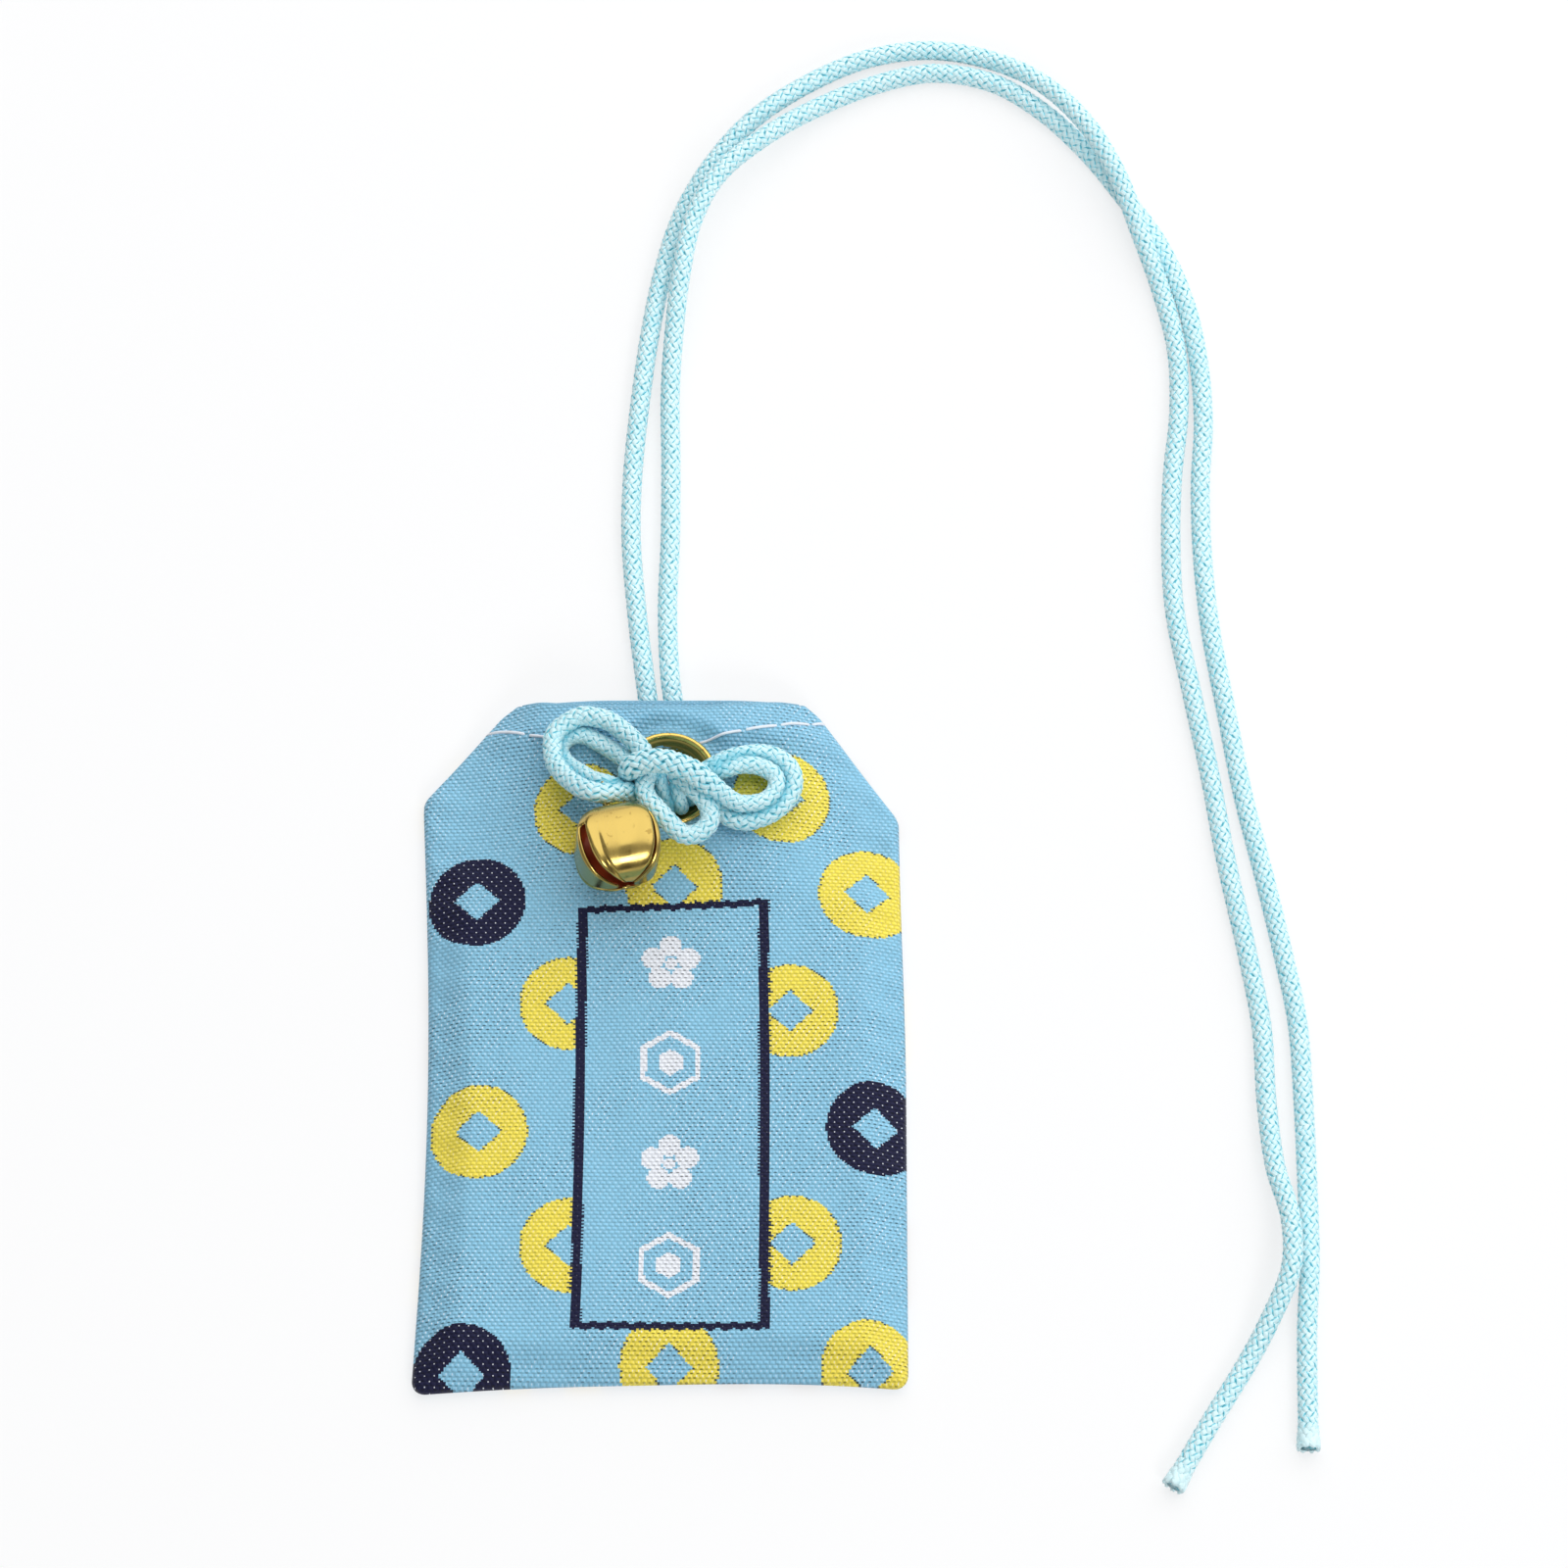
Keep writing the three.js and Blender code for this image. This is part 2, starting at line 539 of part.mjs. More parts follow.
function bellLoop() {
  const leg = LOOP_LEG_SPACING / 2;
  const inner = bellRadius - BELL_WALL - LOOP_HOLE_CLEARANCE - LOOP_WIRE / 2;
  const half = [
    [leg + LOOP_FOOT, inner - LOOP_FOOT / 2], [leg + LOOP_FOOT / 2, inner - LOOP_FOOT / 4],
    [leg, inner + LOOP_WIRE / 2], [leg, bellRadius + LOOP_STANDOFF / 2],
  ];
  for (const angle of [-60, -30, 0, 30, 60]) {
    const a = THREE.MathUtils.degToRad(angle);
    half.push([loopRadius * Math.cos(a), bellReach + loopRadius * Math.sin(a)]);
  }
  const right = half.map(([x, z]) => [x, 0, z]);
  const left = half.map(([x, z]) => [-x, 0, z]).reverse();
  return tube([...right, [0, 0, bellReach + loopRadius], ...left], LOOP_WIRE, LOOP_SIDES, LOOP_STEPS);
}

// The pellet lies low in the bell, which lies on its side
function bellPellet() {
  const drop = bellRadius - BELL_WALL - PELLET_DIAMETER / 2 - PELLET_SEAT_GAP;
  const geometry = new THREE.SphereGeometry(PELLET_DIAMETER / 2, PELLET_SEGMENTS, PELLET_SEGMENTS / 2);
  geometry.translate(-drop, 0, 0);
  return geometry;
}

const cloth = new THREE.MeshStandardMaterial({ color: 0x7fb6d3, roughness: 0.85, metalness: 0 });
const whiteThread = new THREE.MeshStandardMaterial({ color: 0xf2f1ee, roughness: 0.8, metalness: 0 });
const blueThread = new THREE.MeshStandardMaterial({ color: 0x8fc3dc, roughness: 0.8, metalness: 0 });
const cord = new THREE.MeshStandardMaterial({ color: 0xa9e0ee, roughness: 0.6, metalness: 0 });
const brass = new THREE.MeshStandardMaterial({ color: 0xd9ae4a, roughness: 0.25, metalness: 1 });
const steel = new THREE.MeshStandardMaterial({ color: 0xb9bcc0, roughness: 0.35, metalness: 1 });
const board = new THREE.MeshStandardMaterial({ color: 0xcdbb98, roughness: 0.9, metalness: 0 });
const paper = new THREE.MeshStandardMaterial({ color: 0xf4f0e4, roughness: 0.9, metalness: 0 });

function place(group, name, geometry, material) {
  const mesh = new THREE.Mesh(geometry, material);
  mesh.name = name;
  group.add(mesh);
}

const charm = new THREE.Group();
place(charm, 'back_panel', clothPanel(backUnderside, backStitchPoints), cloth);
place(charm, 'front_panel', clothPanel(frontUnderside, frontStitchPoints), cloth);
place(charm, 'seam_thread', seamThread(), blueThread);
place(charm, 'front_hem_stitch', stitchTube(frontStitchPoints, THREAD_DIAMETER), whiteThread);
place(charm, 'back_hem_stitch', stitchTube(backStitchPoints, THREAD_DIAMETER), whiteThread);
place(charm, 'inner_card', innerCard(), board);
place(charm, 'prayer_slip', prayerSlip(), paper);
place(charm, 'eyelet', eyelet(), brass);

const bow = new THREE.Group();
bow.position.set(EYELET_X, eyeletY, eyeletFace);
place(bow, 'knot', tube(knotPoints, CORD_DIAMETER, CORD_SIDES, KNOT_STEPS), cord);
charm.add(bow);

const strands = new THREE.Group();
strands.position.set(0, topEdge, 0);
place(strands, 'cord_left', tube(leftStrandPoints, CORD_DIAMETER, CORD_SIDES, STRAND_STEPS), cord);
place(strands, 'cord_right', tube(rightStrandPoints, CORD_DIAMETER, CORD_SIDES, STRAND_STEPS), cord);
charm.add(strands);

const bell = bellGroup();
place(bell, 'bell_shell', bellShell(), brass);
place(bell, 'bell_loop', bellLoop(), brass);
place(bell, 'bell_pellet', bellPellet(), steel);
charm.add(bell);

export default charm;
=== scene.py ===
"""A cloth charm pouch with a corded bow and a jingle bell, on a pale floor in soft studio light.

Lengths in this script are in millimetres and are turned into metres when a mesh is made.
X is to the right, Y towards the pouch's mouth, Z up. The pouch lies on its back.
"""

import json
import math

import bpy
import numpy as np
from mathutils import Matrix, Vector
from numpy.linalg import norm


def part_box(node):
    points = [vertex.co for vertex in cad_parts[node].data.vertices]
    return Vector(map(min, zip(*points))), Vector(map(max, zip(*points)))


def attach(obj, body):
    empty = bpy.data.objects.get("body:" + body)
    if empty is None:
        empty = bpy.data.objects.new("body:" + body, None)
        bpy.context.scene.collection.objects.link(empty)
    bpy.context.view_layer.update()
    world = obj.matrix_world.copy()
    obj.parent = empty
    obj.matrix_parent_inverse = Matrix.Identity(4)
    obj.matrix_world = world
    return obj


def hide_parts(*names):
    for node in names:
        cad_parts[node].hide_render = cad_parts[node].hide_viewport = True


MM = 0.001

# Order of a face's corners that turns its outer side the other way
OTHER_WAY = [0, 3, 2, 1]

# Fineness of a curve between two of its given points
CURVE_STEPS = 24

# Camera, set to the place that the photograph was taken from
CAMERA_ELEVATION = math.radians(68)
CAMERA_TARGET = (10.21, 24.33, 0)
CAMERA_DISTANCE = 542.55
CAMERA_LENS = 146.25
CAMERA_SENSOR = 36

# Pouch outline
TOP_EDGE = 30
BOTTOM_EDGE = -30
SHOULDER_Y = 21
LEFT_SHOULDER = 22.3
RIGHT_SHOULDER = 20.6
LEFT_SIDE = 20.35
RIGHT_SIDE = 19.95
LEFT_PULL = 0.85
RIGHT_SWELL = 0.45
SWELL_REACH = 25
LEFT_CUT = 0.865
RIGHT_CUT = 0.733
SHOULDER_BLEND = 0.5
BOTTOM_PULL = 0.85
RIGHT_CORNER_LIFT = 0.45
CORNER_LIFT_START = -5
CORNER_LIFT_REACH = 22
BOTTOM_PULL_REACH = 12
CORNER_ROUND = 1.3
MOUTH_ROUND = 1.0
FRONT_TOP = 29.4
BACK_TOP = 30.6
MOUTH_CORNER = 30.6

# Heights of the two cloths: the lift over the cord, the pocket and its closed edges
CLOTH = 0.6
SHEET_THICKNESS = 0.3
SEAM_GAP = 0.25
NECK_GAP = 0.45
MOUTH_GAP = 1.2
MOUTH_START = 25
MOUTH_REACH = 3
POCKET_GAP = 1.8
EDGE_SLOPE = 4
EDGE_ROUND = 0.9
SEAM_LEVEL = 0.72
EYELET = (0.4, 23)
EYELET_LIFT = 2.55
EYELET_RADIUS = 4.2
THROAT_RADIUS = 3.74
MOUTH_LIFT = 2.0
LIFT_FLAT = 4.7
LIFT_REACH = 14
LIFT_START = 11.5
LIFT_FULL = 18.7
FALL_START = 27.3
CLAMP_REACH = 1.6
CLOTH_HOLE = 3.0
HEM_FOLD = 0.4
HEM_DEPTH = 3.4
HEM_END = 0.2
HEM_END_REACH = 2.5
HEM_SKIP = 0.8
HEM_FOLD_ROWS = 9
HEM_ROWS = 12

# Unevenness of the cloth. A wave has its height, its turn for each millimetre of x and y, and its start.
# A pair for a rise or a fall is where it starts and its reach
CLOTH_WAVES = [(0.07, 0.42, 0.17, 1.3), (0.06, 0.2, -0.37, 0.7)]
CROSSED_WAVES = [(0.04, 0.8, 0.5, 0), (1, -0.6, 0.33, 2)]
SEAM_WAVE = (0.1, 0.5, 1.9, 0)
SEAM_WAVE_RISE = 1.2
SEAM_WAVE_FALL = (1, 4)
PUCKER_HEIGHT = 0.14
PUCKER_COUNT = 7
PUCKER_TURN = 0.6
PUCKER_RISE = (4.4, 2)
PUCKER_FALL = (6.5, 5)
CALM_REACH = 3

# Fineness of the woven figure: one face of the cloth is one step of the weave
FRONT_COLUMNS = 200
FRONT_ROWS = 400
BACK_COLUMNS = 100
BACK_ROWS = 200
PICK = 0.29
GRAIN_WIDTH = 0.5
GRAIN_HEIGHT = 0.33
# Painted shade at the edges of each float and painted highlight on its middle
GRAIN_SHADE = (0.86, 1.1)
GRAIN_DEPTH = 0.09
TICK_SIZE = (0.15, 0.065)
TICK_PLACE = (0.4, 0.2)
# Painted shade in the small ticks of the weave
TICK_SHADE = 0.6
FLECK_SIZE = (0.055, 0.09)
FLECK_PLACE = (0.72, 0.62)
SPOT_MOVE = 0.1
SPOT_EDGE = (0.3, 1.3)
DOT_SPACING = 0.8
DOT_ROW = 0.43
DOT_EDGE = (0.033, 0.0715)
BLUE_DOTS = 0.12
YELLOW_DOTS = 0.22
NAVY_DOTS = 1.0
BORDER_DOTS = 0.1
TINT_SPREAD = 0.03
TINT_SEED = 7

# Woven figures
COIN_RADIUS = 4.1
COIN_HOLE = (1.9, 1.8)
EDGE_STEP = 3
FRONT_COINS = {
    "yellow": [
        (-6.85, 20.5), (10, 21.7), (17.2, 13.4), (1, 13.7), (-7.8, 3.4), (10.7, 2.7),
        (-15.1, -7.9), (-7.5, -17.8), (10.9, -17.6), (0.8, -27.9), (17.3, -28.2),
    ],
    "navy": [(-15.6, 12.6), (17.8, -7.5), (-16.2, -28.6)],
}
BACK_COIN_SPACING = (18.2, 20.6)
BACK_COIN_START = 2.2
BACK_COIN_ROWS = range(-3, 3)
BACK_COIN_COLUMNS = range(-2, 3)
PANEL_LEFT = (-7.1, -7.3)
PANEL_RIGHT = (8.95, 9.05)
PANEL_TOP = (11.9, 12.7)
PANEL_BOTTOM = -25.0
SIDE_BORDER = 0.86
END_BORDER = 0.58
BORDER_TOOTH = 0.05
BORDER_WAVE = 0.09
BORDER_WAVE_LENGTH = 1.28
MOTIF_X = 0.75
MOTIF_Y = (6.9, -1.9, -10.7, -19.5)
BLOSSOM_PETAL = 0.95
BLOSSOM_REACH = 1.55
BLOSSOM_HEART = 0.5
HEXAGON_SIZE = 2.5
HEXAGON_LINE = 0.5
HEXAGON_HEART = 1.0

# Cord
CORD_DIAMETER = 1.7
BRAID_LAY = 7.6
BRAID_YARNS = 8
YARN_RADIUS = 0.65
YARN_WAVE = 0.1
YARN_HALF_WIDTH = 0.26
YARN_HALF_HEIGHT = 0.135
YARN_SIDES = 6
YARN_SWAY = 0.06
SWAY_REACH = 1.7
SWAY_TURN = 2.4
YARN_SPREAD = 0.1
CORE_RADIUS = 0.55
CORE_SIDES = 8
BRAID_STEP = 0.14
EAR_WIDEN = 1.0
INNER_WIDEN = 0.88
BAND_WIDEN = 1.3
BAND_RISE = 7.0
BAND_BLEND = 2.5
LOOP_WIDEN = 0.98
INSIDE_WIDEN = 0.74
# Painted shade on the bow's strands: a little all over the knot, deepest in the creases beside other
# strands
SHADE_REACH = 0.6
DEEP_SHADE = 0.7
BOW_SHADE = 0.1
END_FLARE = 0.28
END_FLARE_LENGTH = 2.4
END_CAP_LENGTH = 0.7
END_CAP_SHARE = 0.8
END_CAP_SIDES = 18
END_CAP_DEPTH = 0.75
END_MELT = 0.8
CORD_LEVEL = 0.9
SHADE_SKIP = 3

# The loose strands, from the middle of the pouch's mouth, with a height where they leave the floor
LEFT_STRAND = [
    (-1.2, 0.15), (-1.6, 3), (-2.4, 9.5), (-3, 17), (-2.9, 23), (-2.3, 30), (-1.5, 36.5), (-0.4, 42.5),
    (1.2, 48), (3.8, 53), (7.5, 57.6), (12.6, 61.3), (17.8, 63.7), (23.2, 64.5), (28.5, 63.4, 1.2),
    (33, 60.6, 2.2), (36.8, 56.2, 3), (39.5, 51.2, 3), (41.4, 46, 2.2), (43.2, 40.8, 1.2), (44.5, 35),
    (44.6, 29), (43.9, 22.8), (43.6, 16.5), (43.8, 10), (45, 2.8), (46.4, -5), (47.6, -13), (49.1, -21),
    (50.2, -28), (50.4, -34.5, 1.1), (50.9, -40.5, 1.8), (52, -45.4, 2.6), (51.9, -49.6, 2.6),
    (50.2, -53.6, 1.6), (48.4, -56.9), (45.2, -62.1), (41.9, -67.7),
]
RIGHT_STRAND = [
    (1, 0.15), (0.5, 3.5), (0.2, 10), (0.4, 17), (0.4, 24), (0.3, 30.5, 1.1), (0.6, 36, 1.8),
    (1.2, 41.5, 2.6), (2.2, 46.5, 2.9), (4.3, 50.9, 2.9), (8, 54.7, 2.4), (12.8, 58.3, 1.4),
    (18.5, 61.1), (23.6, 62.2), (28.8, 61.2), (33.2, 58.3), (37.2, 54.1), (40.4, 49.6), (43.2, 45.2),
    (45.3, 39.8), (46.4, 34), (46.7, 28), (46.3, 22), (46.3, 15.5), (46.8, 8.5), (48, 0.5), (49.2, -7),
    (50.8, -14.5), (52.1, -21), (53.2, -27.5), (53.5, -34.5), (53.6, -41.5), (53.6, -48.5),
    (53.2, -54.5), (53, -64.5),
]

# The bow's strands, from the pouch's middle
LEFT_EAR = [
    (-1.3, 23.7, 6.9), (-1.8, 24.7, 6.9), (-2.6, 25.7, 6.8), (-3.6, 26.7, 6.6), (-4.6, 27.5, 6.4),
    (-5.7, 27.9, 6.2), (-6.9, 28.1, 6), (-7.8, 27.7, 5.9), (-8.8, 27, 5.8), (-9.3, 26.1, 5.8),
    (-9.3, 25.1, 5.9), (-9.1, 23.8, 6.3), (-8.5, 22.6, 7), (-7.6, 21.4, 7.8), (-6.6, 20.4, 8.7),
    (-5.5, 19.9, 9.1), (-4.4, 20, 8.8), (-3.1, 20.5, 7.8), (-1.7, 20.7, 6.6), (-0.3, 20.7, 5.6),
]
LEFT_EAR_INNER = [
    (-1.8, 23.3, 6), (-2.8, 24, 5.9), (-3.7, 24.7, 5.6), (-4.7, 25.5, 5.3), (-5.7, 26.2, 5.1),
    (-6.5, 26.7, 5), (-7.5, 26.8, 4.9), (-8.3, 26.4, 4.8), (-8.7, 25.6, 4.8), (-8.5, 24.7, 5),
    (-7.9, 23.7, 5.7), (-6.9, 22.6, 6.8), (-5.8, 21.5, 7.9), (-4.7, 21, 8.4), (-3.7, 21, 7.5),
    (-2.6, 21.2, 5.9),
]
RIGHT_EAR = [
    (3.4, 22.7, 6.4), (4.2, 23.3, 6.3), (5.4, 24.1, 6), (7, 24.7, 5.6), (8.6, 24.9, 5.3),
    (9.9, 24.5, 5.1), (10.7, 23.7, 5), (11, 22.7, 5), (10.8, 21.6, 5), (10.1, 20.5, 5.1),
    (9.1, 19.6, 5.2), (7.8, 19, 5.3), (6.7, 18.8, 5.4), (5.7, 19.1, 5.5), (4.7, 19.8, 5.5),
    (3.8, 20.6, 5.5),
]
BAND = [
    (3.4, 22.4, 6), (4.3, 22.8, 6.2), (5.3, 23.2, 6.2), (6.5, 23.6, 6.1), (7.7, 23.6, 6),
    (8.6, 23.4, 5.8), (9.4, 22.8, 5.7), (9.6, 22, 5.7), (9.3, 21.1, 5.8), (8.6, 20.4, 6),
    (7.5, 20, 6.3), (6.3, 19.9, 6.8), (5.3, 20.2, 7.6), (4.4, 20.5, 8.5), (3.6, 20.9, 9.2),
    (2.8, 21.4, 9.7), (1.8, 21.8, 10), (0.7, 22.2, 10.1), (-0.4, 22.4, 10), (-1.5, 22.4, 9.7),
    (-2.4, 22.2, 9.2), (-2.9, 22.2, 7.9), (-2.9, 21.9, 6.6),
]
MIDDLE_LOOP = [
    (-0.7, 22.8, 7.4), (-1.3, 21.9, 7.8), (-1.5, 20.8, 8.1), (-1.2, 19.6, 8.5), (-0.5, 18.7, 8.7),
    (0.3, 17.8, 8.6), (1.1, 17.1, 8.1), (2, 16.7, 7.5), (3.1, 17, 7.3), (3.9, 17.8, 7.3),
    (4, 18.7, 7.4), (3.6, 19.7, 7.7), (2.8, 20.5, 8), (2, 21.3, 8), (1.1, 22.2, 7.6),
]
INSIDE_LEFT = [
    (-0.3, 22.7, 7), (-0.2, 22, 6.8), (0, 21.2, 6.4), (0.2, 20.6, 5.9), (0.45, 20.2, 5.3),
    (0.6, 20.4, 4.6), (0.6, 21, 3.9), (0.6, 21.3, 2.8),
]
INSIDE_RIGHT = [
    (1.1, 22.4, 7), (1.2, 21.6, 6.7), (1.3, 20.9, 6.2), (1.45, 20.3, 5.5), (1.55, 20.3, 4.8),
    (1.55, 20.8, 4), (1.5, 21.3, 2.8),
]
INSIDE_DEEP = [(2.3, 21.7, 5.4), (2.4, 21.2, 5), (2.3, 21.2, 4.4), (2, 21.6, 3.4)]
TAIL_X = (-1.1, 1.1)
TAIL = [
    (0.2, 0.2, 2.3), (0, 0.4, 0.2), (0, 0.5, -1.5), (0, 0.97, -2.63), (0, 2.1, -3.1), (-0.25, 4.5, -3.1),
    (-0.5, 6.85, -3.1),
]
EYELET_FACE = 4.0

# Threads
THREAD_DIAMETER = 0.26
THREAD_SIDES = 8
HEM_STITCH_LINE = [
    (-15.1, 28.2), (-14, 28.1), (-12.3, 27.6), (-10.5, 27.1), (-6, 26.4), (0, 26.2), (2.7, 26.4),
    (5.3, 27), (9.1, 27.9), (10.8, 28.3), (12.5, 28.7), (13.6, 29),
]
STITCH_LENGTH = 3.1
STITCH_GAP = 0.2
STITCH_LEAST = 0.8
STITCH_SPREAD = 0.3
STITCH_SWING = (2.3, 0.5)
STITCH_STEP = 0.2
STITCH_POINTS = 14
STITCH_ROUND = 0.35
STITCH_RISE = 0.32
STITCH_SINK = 0.22
BACK_STITCH_SHARE = 0.95
BACK_STITCH_DROP = 0.3

# The eyelet's section, as radius and height
EYELET_PROFILE = [
    (4.1, 4.15), (4.21, 4.26), (4.24, 4.4), (4.18, 4.54), (4.05, 4.62), (3.9, 4.6), (3.79, 4.5),
    (3.73, 4.38), (3.67, 4.34), (3.58, 4.36), (3.42, 4.28), (3.2, 4.1), (2.95, 3.88), (2.74, 3.5),
    (2.58, 3), (2.56, 2.5), (2.7, 2.1), (2.95, 1.96), (3.25, 1.96), (3.46, 2.1), (3.45, 2.3),
    (3.25, 2.38), (3, 2.4), (2.82, 2.55), (2.8, 3.2), (2.85, 3.9), (3.1, 4.1),
]
EYELET_SIDES = 96

# Bell
BELL_RADIUS = 3.5
BELL_WALL = 0.3
BELL_SQUARENESS = 7
BELL_ROLL = math.radians(4)
BELL_FULLNESS = 2.3
BELL_REACH = 6.2
SLOT_WIDTHS = (0.16, 0.6, 0.6, 0.85)
SLOT_TOP = 1.3
SLOT_LIMIT = 0.7
PETAL_COLUMNS = 41
PETAL_ROWS = 30
CROWN_ROWS = 16
CROWN_TIP = 0.04
PETAL_END = 0.2
PETAL_EASE = 0.5
LIP_CURL = 0.2
LIP_START = 0.88
FOLD_PLACE = 0.7
FOLD_WIDTH = 0.06
FOLD_DEPTH = 0.16
WELD_REACH = 0.01
WIRE_DIAMETER = 0.4
WIRE_SIDES = 14
WIRE_STEP = 0.12
WIRE_REACH = 5.25
WIRE_RADIUS = 0.95
WIRE_OPENING = 0.45
WIRE_POINTS = 40
WIRE_LEG = 0.4
WIRE_LEG_LENGTH = 0.9
WIRE_SINK = 0.7
PELLET_DIAMETER = 2.4
PELLET_SIDES = 32
PELLET_RINGS = 20

# Colours, as red, green and blue from 0 to 255
BLUE = (140, 199, 228)
YELLOW = (244, 225, 86)
NAVY = (15, 18, 56)
WHITE = (236, 240, 248)
COIN_EDGE = (66, 84, 84)
CORD_PALE = (224, 251, 255)
# The next two colours are painted shade: between the yarns and at their edges, and in the creases between
# strands
CORD_GAP_SHADE = (100, 208, 227)
CORD_SHADOW = (50, 182, 206)
BRASS = (226, 190, 104)
BRASS_DARK = (120, 92, 38)
BELL_GOLD = (190, 164, 90)
# Painted reflection: the red-brown that the brass reflects of itself inside the bell
BELL_INSIDE_REFLECTION = (196, 84, 40)
# Painted shade: darker brass for the eyelet's throat
EYELET_THROAT_SHADE = (112, 104, 56)
STEEL = (190, 192, 194)
CARD = (205, 188, 155)
PAPER = (244, 240, 228)
SEAM_BLUE = (146, 196, 220)

# Fineness of the noise in the materials
PATCH_NOISE = 140
CORD_NOISE = 900
THREAD_NOISE = 4000
SCRATCH_NOISE = 700
SCRATCH_STRETCH = (1, 0.12, 0.12)
SPECKLE_NOISE = 1500
PLAIN_NOISE = 1200

# Relief and polish of the materials
THREAD_DEPTH = 0.03
FILAMENT_DEPTH = 0.012
FILAMENT_TURNS = 9.0
PLAIN_DEPTH = 0.01
EYELET_SCRATCH = 0.004
BELL_SCRATCH = 0.01
BRASS_ROUGHNESS = (0.16, 0.3)

# Light
HORIZON_LIGHT = 0.1
OVERHEAD_LIGHT = 0.42
HORIZON_RISE = (0.05, 0.8)
FLOOR_COLOUR = (246, 247, 249)
FLOOR_GLOW = 0.7

# Floor and lights, in metres. A light has its name, place, size and power
FLOOR_SIZE = 6
LIGHT_TARGET = (0.01, 0.02, 0)
LIGHTS = (
    ("key", (0.16, 0.32, 0.35), (0.95, 0.95), 3.9),
    ("front", (0.25, -0.57, 0.47), (0.24, 0.22), 1.7),
)

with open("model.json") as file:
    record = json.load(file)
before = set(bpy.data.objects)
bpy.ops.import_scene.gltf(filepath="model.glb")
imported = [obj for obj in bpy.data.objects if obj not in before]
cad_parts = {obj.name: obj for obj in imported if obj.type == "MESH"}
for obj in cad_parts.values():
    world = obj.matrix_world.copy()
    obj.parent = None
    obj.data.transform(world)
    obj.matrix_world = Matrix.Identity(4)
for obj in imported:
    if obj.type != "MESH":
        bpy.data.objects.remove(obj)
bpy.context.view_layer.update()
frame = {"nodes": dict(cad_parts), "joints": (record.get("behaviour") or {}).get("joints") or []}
scene = bpy.context.scene


def linear(colour):
    """A colour from 0 to 255 as the four linear numbers that a shader takes."""
    share = np.array(colour) / 255
    value = np.where(share > 0.04045, ((share + 0.055) / 1.055) ** 2.4, share / 12.92)
    return (*(float(v) for v in value), 1.0)


def smooth(value):
    """A soft step from 0 to 1."""
    t = np.clip(value, 0, 1)
    return t * t * (3 - 2 * t)


def rise(value, start, reach):
    """A soft step from 0 at the start to 1 at the end of its reach."""
    return smooth((value - start) / reach)


def distance(x, y, middle):
    """How far a place is from a middle."""
    return np.hypot(x - middle[0], y - middle[1])


def unit(vectors):
    """Vectors of length 1."""
    return vectors / norm(vectors, axis=-1, keepdims=True)


def directions(path):
    """The direction of a path at each of its points."""
    return unit(np.gradient(path, axis=0))


def reaches(path):
    """How far along a path each of its points is."""
    return np.concatenate([[0], np.cumsum(norm(np.diff(path, axis=0), axis=1))])


def spline(points, step):
    """Evenly spaced points on a smooth curve through the given points."""
    given = np.array(points, float)
    padded = np.vstack([2 * given[0] - given[1], given, 2 * given[-1] - given[-2]])
    share = np.linspace(0, 1, CURVE_STEPS, endpoint=False)[:, None]
    fine = []
    for a, b, c, d in zip(padded, padded[1:], padded[2:], padded[3:]):
        first = norm(b - a) ** 0.5
        second = first + norm(c - b) ** 0.5
        third = second + norm(d - c) ** 0.5
        at = first + share * (second - first)
        ab = a + (b - a) * at / first
        bc = b + (c - b) * (at - first) / (second - first)
        cd = c + (d - c) * (at - second) / (third - second)
        abc = ab + (bc - ab) * at / second
        bcd = bc + (cd - bc) * (at - first) / (third - first)
        fine.append(abc + (bcd - abc) * (at - first) / (second - first))
    fine.append(given[-1:])
    line = np.vstack(fine)
    reach = reaches(line)
    count = max(3, round(reach[-1] / step) + 1)
    even = np.linspace(0, reach[-1], count)
    return np.stack([np.interp(even, reach, line[:, i]) for i in range(3)], axis=1)


def carried_normals(path):
    """Directions square to a path, carried along it without turning about it."""
    along = directions(path)
    normal = np.array([0.0, 0.0, 1.0])
    if abs(along[0][2]) > 0.9:
        normal = np.array([0.0, 1.0, 0.0])
    normals = []
    for direction in along:
        normal = normal - direction * normal.dot(direction)
        normal = normal / norm(normal)
        normals.append(normal)
    return np.array(normals)


def quads(index):
    """The four corners of each cell in a grid of point numbers."""
    corners = [index[:-1, :-1], index[1:, :-1], index[1:, 1:], index[:-1, 1:]]
    return np.stack(corners, axis=-1).reshape(-1, 4)


def grid(rows, columns):
    """Point numbers of a grid, in rows by columns."""
    return np.arange(rows * columns).reshape(rows, columns)


def joined(parts):
    """One mesh from the points and faces of several."""
    points = []
    faces = []
    shift = 0
    for new_points, new_faces in parts:
        points.append(new_points)
        faces += [[i + shift for i in face] for face in new_faces]
        shift += len(new_points)
    return np.vstack(points), faces


def tube(path, outward, half_width, half_height, sides):
    """Points, and faces, of a closed tube along a path. Its height is along outward."""
    along = directions(path)
    across = unit(np.cross(along, outward))
    out = np.cross(across, along)
    turn = np.linspace(0, 2 * math.pi, sides, endpoint=False)
    wide = np.asarray(half_width).reshape(-1, 1, 1) * np.cos(turn)[None, :, None] * across[:, None]
    high = np.asarray(half_height).reshape(-1, 1, 1) * np.sin(turn)[None, :, None] * out[:, None]
    points = (path[:, None] + wide + high).reshape(-1, 3)
    index = grid(len(path), sides)
    faces = quads(np.pad(index, ((0, 0), (0, 1)), mode="wrap")).tolist()
    faces.append(index[0].tolist())
    faces.append(index[-1][::-1].tolist())
    return points, faces


